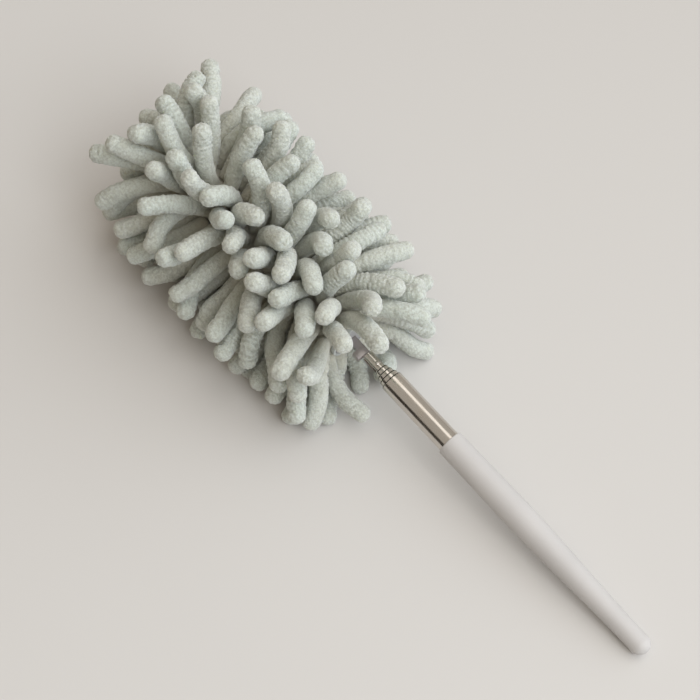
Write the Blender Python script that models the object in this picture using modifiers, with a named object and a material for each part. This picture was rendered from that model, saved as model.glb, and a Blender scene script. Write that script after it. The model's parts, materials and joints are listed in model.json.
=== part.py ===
"""Retractable dust brush lying on a table, in metres, +Z up.

A hollow grip carries five telescopic tubes. The thinnest one ends in a slotted mouth, where a riveted
blade tilts a stiff core. A removable sleeve of soft fingers covers the core.
The pole runs along local +Z of one empty. Local -X is the pole's upper side, and +Y its left side.
"""

import math
import random

import bmesh
import bpy
import numpy as np
from mathutils import Matrix, Vector

MM = 0.001
MERGE_DISTANCE = 0.001 * MM  # below every real size

# The pole's place on the table
POLE_TILT = math.radians(7.4)  # how far the head lifts the pole
TAIL_X = -143.6 * MM
TAIL_Y = 0.0

# Grip
GRIP_LENGTH = 104.0 * MM
GRIP_MOUTH_RADIUS = 5.6 * MM
GRIP_WAIST_RADIUS = 5.9 * MM
GRIP_TAIL_RADIUS = 4.2 * MM
GRIP_LIP = 0.35 * MM  # rounding of the mouth's edge
GRIP_TAIL_BORE_RADIUS = 3.2 * MM
GRIP_TAIL_WALL = 2.2 * MM
GRIP_SIDES = 40
GRIP_LIP_STEPS = 3
GRIP_TAIL_STEPS = 7
TAIL_HEIGHT = GRIP_TAIL_RADIUS  # of the pole's axis, where the round tail rests on the table
GRIP_TAPER_SHARES = ((0.65, 1.0), (0.4, 0.75), (0.2, 0.33))  # place along, share of the taper left

# Telescopic tubes, the thickest first
TUBE_OUTER_RADIUS = 4.75 * MM
TUBE_WALL = 0.3 * MM
TUBE_SPACE = 0.3 * MM  # between one tube's bore and the next tube
TUBE_COUNT = 5
TUBE_SHOWN = 33.8 * MM  # of the thickest tube, beyond the grip
TUBE_STEP = 2.0 * MM  # how far each thinner tube stands out of the last
TUBE_SIDES = 32
NECK_LENGTH = 1.3 * MM  # drawn-in mouth of a tube
NECK_CLEARANCE = 0.08 * MM
NECK_ROUND = 0.35 * MM
GRIP_SOCKET_DEPTH = 62.0 * MM  # of the thickest tube inside the grip
GRIP_BORE_CLEARANCE = 0.1 * MM
FOOT_GAP = 0.3 * MM  # between a tube's foot and the plug

# Split bushes in the grooves at the tubes' feet
BUSH_LENGTH = 5.0 * MM
BUSH_SLIT = 0.8 * MM
BUSH_CLEARANCE = 0.07 * MM  # to the bore that it slides in
BUSH_END_GAP = 0.1 * MM
GROOVE_DEPTH = 0.12 * MM
GROOVE_FIT = 0.05 * MM
FOOT_LIP = 0.6 * MM

# Plug in the thickest tube's foot
PLUG_LENGTH = 3.0 * MM
PLUG_GAP = 0.1 * MM

# Riveted hinge in the thinnest tube's mouth
TIP_LENGTH = 8.0 * MM  # of the thinnest tube, beyond the next one's mouth
PIVOT_FROM_MOUTH = 5.6 * MM
SLOT_WIDTH = 2.0 * MM
SLOT_BELOW_PIVOT = 1.95 * MM
BLADE_THICKNESS = 1.4 * MM
BLADE_WIDTH = 3.4 * MM
BLADE_TAIL = 1.0 * MM  # how far the blade stands out of the core's base, inside the core
EYE_STEPS = 8  # of the blade's half-round end
BLOCK_START = 6.2 * MM  # shoulder on the blade, from the pivot
BLOCK_LENGTH = 3.4 * MM
BLOCK_WIDTH = 4.2 * MM
BLOCK_THICKNESS = 3.2 * MM
BLOCK_OFFSET = 2.3 * MM
RIVET_RADIUS = 0.55 * MM
RIVET_CLEARANCE = 0.08 * MM
RIVET_HEAD_RADIUS = 1.0 * MM
RIVET_HEAD_HEIGHT = 0.45 * MM
RIVET_HEAD_GAP = 0.05 * MM
RIVET_SIDES = 16
# Profile of a rivet head, as shares of its radius and its height
RIVET_DOME_SHARES = ((0.0, 1.0), (0.55, 0.8), (1.0, 0.3))
CUT_OVERRUN = 1.0 * MM

# Core inside the sleeve
CORE_START = 14.8 * MM  # from the pivot
CORE_RADIUS = 8.2 * MM
CORE_WALL = 1.2 * MM
CORE_END_GAP = 2.2 * MM  # between the core's dome and the sleeve's closed end
CORE_DOME = 4.0 * MM
CORE_SIDES = 24
CORE_DOME_SHARES = ((0.6, 0.2), (0.9, 0.55))  # of the core's radius, and of the dome's height down
BASE_FLANGE = 2.2 * MM
BASE_SPIGOT = 9.0 * MM
BASE_POCKET_GAP = 0.15 * MM
SEAT_GAP = 0.3 * MM

# Elastic band in the sleeve's mouth
BAND_LENGTH = 2.2 * MM
BAND_THICKNESS = 1.2 * MM

# Sleeve of soft fingers
BACKING_RADIUS = 10.5 * MM
BACKING_THICKNESS = 2.0 * MM
ROW_PITCH = 6.5 * MM
FINGERS_A_ROW = 11
NECK_NODE = "sleeve_neck"
END_NODE = "sleeve_end"
SLICES = (
    (NECK_NODE, 2), ("sleeve_1", 3), ("sleeve_2", 3), ("sleeve_3", 3), ("sleeve_4", 3), ("sleeve_5", 2),
)
SLICE_GAP = 0.3 * MM
END_THICKNESS = 4.5 * MM
END_DRAW_SHARE = 0.28  # how much narrower the closed end's front is
END_FALL_SHARE = 0.33  # how far its front's rim falls back
END_CUTS = 2
END_UNDER_SHARE = 0.2  # a face whose normal points down more than this carries no finger
FINGER_LENGTH = 36.0 * MM
END_FINGER_LENGTH = 23.0 * MM
FINGER_RADIUS = 4.2 * MM
LENGTH_JITTER = 2.6 * MM
FINGER_DROOP = 9.0 * MM
FINGER_FLOOR = 2.6 * MM  # lowest height of a finger's middle line over the plane that cuts it flat
NECK_LIFT = 0.6 * MM  # of that plane over the table, under the neck's fingers
POLE_CLEARANCE = 0.6 * MM
TIP_SHARE = 0.75  # of a finger's radius, by which its tip runs past its middle line
SMOOTH_ANGLE = math.radians(50.0)
SEED = 13
# Lean along the head, in degrees, against the share of the sleeve's length from its mouth
LEAN_SHARES = ((0.0, -34.0), (0.06, -32.0), (0.15, -22.0), (0.5, -8.0), (0.75, 4.0), (1.0, 20.0))
# Side of a finger's section, as shares of its radius, against the share of its length
SIDE_SHARES = ((0.0, 0.4), (0.22, 0.54), (0.5, 0.68), (0.84, 0.72), (1.0, 0.4))
# The hinge shows between the fingers on one side, where these shares of their lean are taken off
WINDOW_SHARES = ((0.0, 0.75), (0.12, 0.72), (0.6, 0.0), (1.0, 0.0))
WINDOW_ANGLE = math.radians(34.0)
WINDOW_SPREAD = math.radians(24.0)
# Sideways lean: the fingers fall apart at a parting, in degrees from the head's top, along the sleeve
PARTING_SHARES = ((0.0, 30.0), (1.0, 50.0))
PARTING_SPREAD = math.radians(40.0)
PARTING_LEAN = math.radians(20.0)
SIDE_DROOP = math.radians(8.0)
LEAN_JITTER = math.radians(12.0)
SIDE_JITTER = math.radians(16.0)
# Angle that a finger bends through by itself
CURL_LEAST = math.radians(15.0)
CURL_MOST = math.radians(60.0)
# Tilt of the closed end's fingers off the head's axis
END_CORNER_TILT = math.radians(38.0)
END_SIDE_TILT = math.radians(64.0)
END_JITTER = math.radians(5.0)
# How the fingers settle, as chains of nodes
FINGER_NODES = 6
SETTLE_STEPS = 150
STEPS_A_SEARCH = 15
PUSH_SHARE = 0.4  # of an overlap that each of two fingers gives way in one step
CROWD_SHARE = 0.5  # how much the pushes on a place are shared out among its neighbours
BEND_SHARE = 0.06  # of a bend that a finger takes back in one step
ROOT_SHARE = 0.2
BACKING_SHARE = 0.8  # of its room that a finger keeps over the backing
ELBOW_SHARE = 1.52  # room that a finger keeps about its middle line, against its section's half side
TINY_SHARE = 0.01  # of a finger's radius, below which two points count as one
POINTS_A_BLOCK = 400

# Places along the pole, from the tail
TUBE_RADII = tuple(TUBE_OUTER_RADIUS - k * (TUBE_WALL + TUBE_SPACE) for k in range(TUBE_COUNT))
TUBE_MOUTHS = tuple(
    GRIP_LENGTH + TUBE_SHOWN + k * TUBE_STEP if k < TUBE_COUNT - 1
    else GRIP_LENGTH + TUBE_SHOWN + (k - 1) * TUBE_STEP + TIP_LENGTH
    for k in range(TUBE_COUNT)
)
OUTER_FOOT = GRIP_LENGTH - GRIP_SOCKET_DEPTH
INNER_FOOT = OUTER_FOOT + PLUG_LENGTH + FOOT_GAP
PIVOT = TUBE_MOUTHS[-1] - PIVOT_FROM_MOUTH
CORE_FOOT = PIVOT + CORE_START
BLADE_REACH = CORE_START + BASE_FLANGE + BASE_SPIGOT + BLADE_TAIL
SLEEVE_MOUTH = CORE_FOOT + BAND_LENGTH
SLEEVE_END = SLEEVE_MOUTH + sum(rows for _, rows in SLICES) * ROW_PITCH
COLUMNS = 2 * FINGERS_A_ROW

POLE_PLACE = Matrix.Translation((TAIL_X, TAIL_Y, TAIL_HEIGHT)) @ Matrix.Rotation(
    math.pi / 2 - POLE_TILT, 4, "Y"
)


def clear_scene():
    for item in list(bpy.data.objects):
        bpy.data.objects.remove(item, do_unlink=True)


def new_collection(name):
    group = bpy.data.collections.new(name)
    bpy.context.scene.collection.children.link(group)
    return group


def material(name, colour, roughness, metallic=0.0):
    """A plain finish for one piece."""
    made = bpy.data.materials.new(name)
    made.use_nodes = True
    shader = made.node_tree.nodes["Principled BSDF"]
    shader.inputs["Base Color"].default_value = (*colour, 1.0)
    shader.inputs["Roughness"].default_value = roughness
    shader.inputs["Metallic"].default_value = metallic
    return made


STEEL = ((0.62, 0.58, 0.53), 0.25, 1.0)
DARK_STEEL = ((0.35, 0.32, 0.30), 0.4, 1.0)
BRONZE = ((0.60, 0.42, 0.22), 0.35, 1.0)
WHITE_PLASTIC = ((0.80, 0.79, 0.77), 0.55, 0.0)
GREY_PLASTIC = ((0.45, 0.45, 0.45), 0.6, 0.0)
CHENILLE = ((0.60, 0.64, 0.60), 0.95, 0.0)
ELASTIC = ((0.55, 0.57, 0.55), 0.9, 0.0)


class Brush:
    """Holds the collections and the empty that the pieces hang on."""

    def __init__(self):
        self.parts = new_collection("retractable_dust_brush")
        self.cutters = new_collection("cutters")
        self.pole = bpy.data.objects.new("pole_axis", None)
        self.pole.matrix_world = POLE_PLACE
        self.parts.objects.link(self.pole)

    def add(self, name, mesh, finish):
        """Hangs a mesh on the pole's empty as a named piece with its own finish."""
        piece = bpy.data.objects.new(name, mesh)
        self.parts.objects.link(piece)
        piece.parent = self.pole
        piece.data.materials.append(material(name, *finish))
        return piece

    def add_cutter(self, name, mesh):
        cutter = bpy.data.objects.new(name, mesh)
        self.cutters.objects.link(cutter)
        cutter.parent = self.pole
        cutter.hide_render = True
        cutter.display_type = "WIRE"
        return cutter


def smooth(piece):
    piece.data.shade_smooth()
    piece.data.set_sharp_from_angle(angle=SMOOTH_ANGLE)


def outline_mesh(name, points, closed):
    """An open or closed line of (radius, height) points, for a Screw modifier."""
    mesh = bpy.data.meshes.new(name)
    edges = [(k, k + 1) for k in range(len(points) - 1)]
    if closed:
        edges.append((len(points) - 1, 0))
    mesh.from_pydata([(r, 0.0, z) for r, z in points], edges, [])
    return mesh


def turn(piece, steps):
    """Turns the piece's outline about the pole's axis."""
    screw = piece.modifiers.new("Turn", "SCREW")
    screw.angle = 2 * math.pi
    screw.steps = steps
    screw.render_steps = steps
    screw.use_merge_vertices = True
    screw.merge_threshold = MERGE_DISTANCE
    screw.use_smooth_shade = True
    return screw


def cut(piece, cutter):
    boolean = piece.modifiers.new("Cut " + cutter.name, "BOOLEAN")
    boolean.operation = "DIFFERENCE"
    boolean.solver = "EXACT"
    boolean.object = cutter


def box_mesh(name, size, centre):
    bm = bmesh.new()
    bmesh.ops.create_cube(bm, size=1.0)
    bmesh.ops.scale(bm, vec=size, verts=bm.verts)
    bmesh.ops.translate(bm, vec=centre, verts=bm.verts)
    mesh = bpy.data.meshes.new(name)
    bm.to_mesh(mesh)
    bm.free()
    return mesh


def rod_mesh(name, radius, length, centre, axis, sides):
    """A cylinder about its centre, along local X or Z."""
    bm = bmesh.new()
    bmesh.ops.create_cone(
        bm, cap_ends=True, segments=sides, radius1=radius, radius2=radius, depth=length
    )
    if axis == "X":
        bmesh.ops.rotate(bm, matrix=Matrix.Rotation(math.pi / 2, 3, "Y"), verts=bm.verts)
    bmesh.ops.translate(bm, vec=centre, verts=bm.verts)
    mesh = bpy.data.meshes.new(name)
    bm.to_mesh(mesh)
    bm.free()
    return mesh


def arc(centre, radius, first, last, count):
    """Points of an arc in the (radius, height) plane, angles in degrees from +radius."""
    points = []
    for k in range(count + 1):
        angle = math.radians(first + (last - first) * k / count)
        points.append((centre[0] + radius * math.cos(angle), centre[1] + radius * math.sin(angle)))
    return points


def grip(brush):
    """One moulded grip: a straight front that holds the tube, and a rounded, tapering tail."""
    bore = TUBE_OUTER_RADIUS + GRIP_BORE_CLEARANCE
    depth = OUTER_FOOT - SEAT_GAP
    taper = GRIP_WAIST_RADIUS - GRIP_TAIL_RADIUS
    outer = arc((GRIP_MOUTH_RADIUS - GRIP_LIP, GRIP_LENGTH - GRIP_LIP), GRIP_LIP, 90, 0, GRIP_LIP_STEPS)
    for share, left in GRIP_TAPER_SHARES:
        outer.append((GRIP_TAIL_RADIUS + taper * left, GRIP_LENGTH * share))
    outer += arc((0.0, 0.0), GRIP_TAIL_RADIUS, 0, -90, GRIP_TAIL_STEPS)
    outer[-1] = (0.0, -GRIP_TAIL_RADIUS)
    inner = [
        (0.0, -GRIP_TAIL_RADIUS + GRIP_TAIL_WALL),
        (GRIP_TAIL_BORE_RADIUS, -GRIP_TAIL_RADIUS + GRIP_TAIL_WALL + GRIP_TAIL_BORE_RADIUS),
        (GRIP_TAIL_BORE_RADIUS, depth),
        (bore, depth),
        (bore, GRIP_LENGTH),
    ]
    # the closing edge between the bore and the lip is the mouth's flat rim
    mesh = bpy.data.meshes.new("handle_grip")
    points = outer + inner
    edges = [(k, k + 1) for k in range(len(points) - 1)]
    edges = [e for e in edges if e[0] != len(outer) - 1]
    edges.append((len(points) - 1, 0))
    mesh.from_pydata([(r, 0.0, z) for r, z in points], edges, [])
    piece = brush.add("handle_grip", mesh, WHITE_PLASTIC)
    turn(piece, GRIP_SIDES)
    return piece


def tube_outline(number):
    """Closed wall of one tube, starting at the top of its outer side."""
    outer = TUBE_RADII[number]
    inner = outer - TUBE_WALL
    mouth = TUBE_MOUTHS[number]
    foot = INNER_FOOT if number else OUTER_FOOT
    if number < TUBE_COUNT - 1:
        neck = TUBE_RADII[number + 1] + NECK_CLEARANCE
        shift = inner - neck
        start = mouth - NECK_LENGTH
        top = [
            (neck + TUBE_WALL / 2, mouth),
            (neck + TUBE_WALL, mouth - TUBE_WALL / 2),
            (outer - shift / 3, start + NECK_ROUND),
            (outer, start),
        ]
        inside = [(inner, start - TUBE_WALL), (neck, start + TUBE_WALL), (neck, mouth - TUBE_WALL / 2)]
    else:
        top = [(outer, mouth)]
        inside = [(inner, mouth)]
    groove = []
    if number:
        bottom = foot + FOOT_LIP
        groove = [
            (outer, bottom + BUSH_LENGTH + 2 * BUSH_END_GAP),
            (outer - GROOVE_DEPTH, bottom + BUSH_LENGTH + 2 * BUSH_END_GAP),
            (outer - GROOVE_DEPTH, bottom),
            (outer, bottom),
        ]
    return top + groove + [(outer, foot), (inner, foot)] + inside


def tube(brush, number):
    name = "tube_%d" % (number + 1)
    piece = brush.add(name, outline_mesh(name, tube_outline(number), closed=True), STEEL)
    turn(piece, TUBE_SIDES)
    return piece


def bush(brush, number):
    """A split spring bush that rides in a tube's groove and rubs in the next bore out."""
    name = "bush_%d" % (number + 1)
    outer = TUBE_RADII[number - 1] - TUBE_WALL - BUSH_CLEARANCE
    inner = TUBE_RADII[number] - GROOVE_DEPTH + GROOVE_FIT
    low = INNER_FOOT + FOOT_LIP + BUSH_END_GAP
    high = low + BUSH_LENGTH
    points = [(outer, high), (outer, low), (inner, low), (inner, high)]
    piece = brush.add(name, outline_mesh(name, points, closed=True), BRONZE)
    turn(piece, TUBE_SIDES)
    size = (outer + CUT_OVERRUN, BUSH_SLIT, BUSH_LENGTH + 2 * CUT_OVERRUN)
    centre = (-size[0] / 2, 0.0, low + BUSH_LENGTH / 2)
    cut(piece, brush.add_cutter(name + "_slit_cutter", box_mesh(name + "_slit", size, centre)))
    return piece


def plug(brush):
    """Closes the foot of the thickest tube inside the grip."""
    spigot = TUBE_OUTER_RADIUS - TUBE_WALL - PLUG_GAP
    high = OUTER_FOOT + PLUG_LENGTH
    low = OUTER_FOOT - SEAT_GAP + PLUG_GAP
    points = [(0.0, high), (spigot, high), (spigot, low), (0.0, low)]
    piece = brush.add("pole_plug", outline_mesh("pole_plug", points, closed=False), GREY_PLASTIC)
    turn(piece, TUBE_SIDES)
    return piece


def slotted_mouth(brush, tip_tube):
    """Slots the thinnest tube's mouth on both sides and drills it for the rivet."""
    low = PIVOT - SLOT_BELOW_PIVOT
    high = TUBE_MOUTHS[-1] + CUT_OVERRUN
    size = (SLOT_WIDTH, 2 * TUBE_RADII[-1] + 2 * CUT_OVERRUN, high - low)
    slot = box_mesh("mouth_slot", size, (0.0, 0.0, (high + low) / 2))
    cut(tip_tube, brush.add_cutter("mouth_slot_cutter", slot))
    hole = rod_mesh(
        "mouth_hole", RIVET_RADIUS + RIVET_CLEARANCE, 2 * TUBE_RADII[-1] + 2 * CUT_OVERRUN,
        (0.0, 0.0, PIVOT), "X", RIVET_SIDES,
    )
    cut(tip_tube, brush.add_cutter("mouth_hole_cutter", hole))


def rivet(brush):
    """A shank with a domed head at each end, turned about local X through the pivot."""
    seat = TUBE_RADII[-1] + RIVET_HEAD_GAP
    points = [
        (RIVET_HEAD_RADIUS * across, seat + RIVET_HEAD_HEIGHT * up) for across, up in RIVET_DOME_SHARES
    ]
    points += [(RIVET_HEAD_RADIUS, seat), (RIVET_RADIUS, seat)]
    points += [(r, -z) for r, z in reversed(points)]
    piece = brush.add("hinge_rivet", outline_mesh("hinge_rivet", points, closed=False), STEEL)
    turn(piece, RIVET_SIDES)
    piece.location = (0.0, 0.0, PIVOT)
    piece.rotation_euler = (0.0, math.pi / 2, 0.0)
    return piece


def blade(brush, pivot_empty):
    """A flat blade with a round eye on the rivet and a thicker shoulder where the core begins."""
    half = BLADE_WIDTH / 2
    curve = bpy.data.curves.new("hinge_blade", "CURVE")
    curve.dimensions = "2D"
    curve.fill_mode = "BOTH"
    curve.extrude = BLADE_THICKNESS / 2
    points = [(BLADE_REACH, -half), (BLADE_REACH, half)]
    points += [
        (half * math.cos(a), half * math.sin(a))
        for a in (math.pi / 2 + math.pi * k / EYE_STEPS for k in range(EYE_STEPS + 1))
    ]
    spline = curve.splines.new("POLY")
    spline.points.add(len(points) - 1)
    for point, (x, y) in zip(spline.points, points):
        point.co = (x, y, 0.0, 1.0)
    spline.use_cyclic_u = True
    flat = bpy.data.objects.new("hinge_blade_flat", curve)
    brush.parts.objects.link(flat)
    bpy.context.view_layer.update()
    mesh = bpy.data.meshes.new_from_object(flat.evaluated_get(bpy.context.evaluated_depsgraph_get()))
    bpy.data.objects.remove(flat, do_unlink=True)
    bm = bmesh.new()
    bm.from_mesh(mesh)
    bmesh.ops.remove_doubles(bm, verts=bm.verts, dist=MERGE_DISTANCE)
    # the flat outline lies in local XY, and the blade in local ZY
    bmesh.ops.rotate(bm, matrix=Matrix.Rotation(-math.pi / 2, 3, "Y"), verts=bm.verts)
    bm.to_mesh(mesh)
    bm.free()
    piece = brush.add("hinge_blade", mesh, DARK_STEEL)
    piece.parent = pivot_empty
    block = box_mesh(
        "block", (BLOCK_THICKNESS, BLOCK_WIDTH, BLOCK_LENGTH),
        (0.0, BLOCK_OFFSET, BLOCK_START + BLOCK_LENGTH / 2),
    )
    shoulder = brush.add_cutter("blade_block", block)
    shoulder.parent = pivot_empty
    joined = piece.modifiers.new("Shoulder", "BOOLEAN")
    joined.operation = "UNION"
    joined.solver = "EXACT"
    joined.object = shoulder
    eye = rod_mesh(
        "eye", RIVET_RADIUS + RIVET_CLEARANCE, BLADE_THICKNESS + 2 * CUT_OVERRUN,
        (0.0, 0.0, 0.0), "X", RIVET_SIDES,
    )
    drill = brush.add_cutter("blade_eye_cutter", eye)
    drill.parent = pivot_empty
    cut(piece, drill)
    return piece


def core_base(brush):
    """Moulded over the blade's end: a flange at the sleeve's mouth and a spigot in the core."""
    spigot = CORE_RADIUS - CORE_WALL - PLUG_GAP
    top = CORE_FOOT + BASE_FLANGE + BASE_SPIGOT
    points = [
        (0.0, top),
        (spigot, top),
        (spigot, CORE_FOOT + BASE_FLANGE),
        (CORE_RADIUS, CORE_FOOT + BASE_FLANGE),
        (CORE_RADIUS, CORE_FOOT),
        (0.0, CORE_FOOT),
    ]
    piece = brush.add("core_base", outline_mesh("core_base", points, closed=False), GREY_PLASTIC)
    turn(piece, CORE_SIDES)
    size = (
        BLADE_THICKNESS + 2 * BASE_POCKET_GAP,
        BLADE_WIDTH + 2 * BASE_POCKET_GAP,
        BLADE_REACH - CORE_START + CUT_OVERRUN + BASE_POCKET_GAP,
    )
    centre = (0.0, 0.0, PIVOT + BLADE_REACH + BASE_POCKET_GAP - size[2] / 2)
    cut(piece, brush.add_cutter("base_pocket_cutter", box_mesh("base_pocket", size, centre)))
    return piece


def core_tube(brush):
    """A stiff hollow core with a domed end."""
    low = CORE_FOOT + BASE_FLANGE + SEAT_GAP
    high = SLEEVE_END - CORE_END_GAP
    inner = CORE_RADIUS - CORE_WALL
    shoulder = high - CORE_DOME
    dome = [(CORE_RADIUS * across, high - CORE_DOME * down) for across, down in CORE_DOME_SHARES]
    hollow = [(inner * across, high - CORE_WALL - CORE_DOME * down) for across, down in CORE_DOME_SHARES]
    points = [(0.0, high)] + dome
    points += [(CORE_RADIUS, shoulder), (CORE_RADIUS, low), (inner, low), (inner, shoulder - CORE_WALL)]
    points += hollow[::-1] + [(0.0, high - CORE_WALL)]
    piece = brush.add("core_tube", outline_mesh("core_tube", points, closed=False), GREY_PLASTIC)
    turn(piece, CORE_SIDES)
    return piece


def band(brush):
    """The elastic band that grips the core's base inside the sleeve's mouth."""
    inner = CORE_RADIUS + SEAT_GAP
    outer = inner + BAND_THICKNESS
    low = CORE_FOOT
    high = CORE_FOOT + BAND_LENGTH - SLICE_GAP
    points = [(outer, high), (outer, low), (inner, low), (inner, high)]
    piece = brush.add("sleeve_band", outline_mesh("sleeve_band", points, closed=True), ELASTIC)
    turn(piece, CORE_SIDES)
    return piece


class Finger:
    """One soft finger: its root on the backing, its two root axes and its middle line."""

    def __init__(self, node, key, root, out, across, along, length, curl):
        self.node = node
        self.key = key
        self.root = root
        self.out = out
        self.across = across
        self.along = along
        self.length = length
        self.curl = curl
        self.lift = NECK_LIFT if node == NECK_NODE else 0.0


def share_value(table, at):
    """Reads a table of shares by straight lines between its rows."""
    for (a, first), (b, last) in zip(table, table[1:]):
        if at <= b:
            return first + (last - first) * max(0.0, at - a) / (b - a)
    return table[-1][1]


def side_lean(angle, share):
    """Sideways lean: the fingers droop to both sides, and near the parting they fall back over the top."""
    from_top = (angle + math.pi) % (2 * math.pi) - math.pi
    parting = math.radians(share_value(PARTING_SHARES, share))
    over = math.exp(-(((from_top - parting) / PARTING_SPREAD) ** 2))
    return SIDE_DROOP * math.sin(from_top) - PARTING_LEAN * over


def random_curl(rng, across, along):
    """Which way a finger curls, as long as the angle that it bends through."""
    way = rng.uniform(0.0, 2 * math.pi)
    return (across * math.cos(way) + along * math.sin(way)) * rng.uniform(CURL_LEAST, CURL_MOST)


def ring_fingers(rng):
    """The fingers of the sleeve's rows, staggered from row to row."""
    fingers = []
    nodes = [name for name, rows in SLICES for _ in range(rows)]
    for row, node in enumerate(nodes):
        z = SLEEVE_MOUTH + (row + 0.5) * ROW_PITCH
        share = (z - SLEEVE_MOUTH) / (SLEEVE_END - SLEEVE_MOUTH)
        for column in range(row % 2, COLUMNS, 2):
            angle = (column + 0.5) * 2 * math.pi / COLUMNS
            # angle runs from the pole's upper side (local -X) towards local +Y
            radial = Vector((-math.cos(angle), math.sin(angle), 0.0))
            across = Vector((math.sin(angle), math.cos(angle), 0.0))
            along = Vector((0.0, 0.0, 1.0))
            lean = math.radians(share_value(LEAN_SHARES, share)) + LEAN_JITTER * rng.uniform(-1, 1)
            side = side_lean(angle, share) + SIDE_JITTER * rng.uniform(-1, 1)
            facing = math.exp(-(((angle - WINDOW_ANGLE) / WINDOW_SPREAD) ** 2))
            lean *= 1 - facing * share_value(WINDOW_SHARES, share)
            out = radial * math.cos(lean) + along * math.sin(lean) + across * math.tan(side)
            length = FINGER_LENGTH + rng.uniform(-1, 1) * LENGTH_JITTER
            root = radial * BACKING_RADIUS + along * z
            curl = random_curl(rng, across, along)
            fingers.append(
                Finger(node, (row, column), root, out.normalized(), across, along, length, curl)
            )
    return fingers


def end_fingers(rng):
    """The fingers of the sleeve's closed end: one on the axis, four at the corners, four at the sides."""
    fingers = [end_finger(rng, 0.0, 0.0)]
    for k in range(4):
        side = k * math.pi / 2
        fingers.append(end_finger(rng, side + math.pi / 4, END_CORNER_TILT))
        fingers.append(end_finger(rng, side, END_SIDE_TILT))
    return fingers


def end_finger(rng, angle, tilt):
    """A finger of the closed end, which gets its root from the face that it grows on."""
    radial = Vector((-math.cos(angle), math.sin(angle), 0.0))
    across = Vector((math.sin(angle), math.cos(angle), 0.0))
    tilt += END_JITTER * rng.uniform(-1, 1)
    out = (Vector((0.0, 0.0, math.cos(tilt))) + radial * math.sin(tilt)).normalized()
    length = END_FINGER_LENGTH + rng.uniform(-1, 1) * LENGTH_JITTER
    along = out.cross(across)
    return Finger(END_NODE, None, None, out, across, along, length, random_curl(rng, across, along))


def pole_radius(z):
    """Radius of what the fingers have to clear along the pole, for places below the blade's shoulder."""
    first, last = TUBE_MOUTHS[0], TUBE_MOUTHS[-2]
    share = np.clip((z - first) / (last - first), 0.0, 1.0)
    return TUBE_RADII[0] + (TUBE_RADII[-1] - TUBE_RADII[0]) * share


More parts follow.
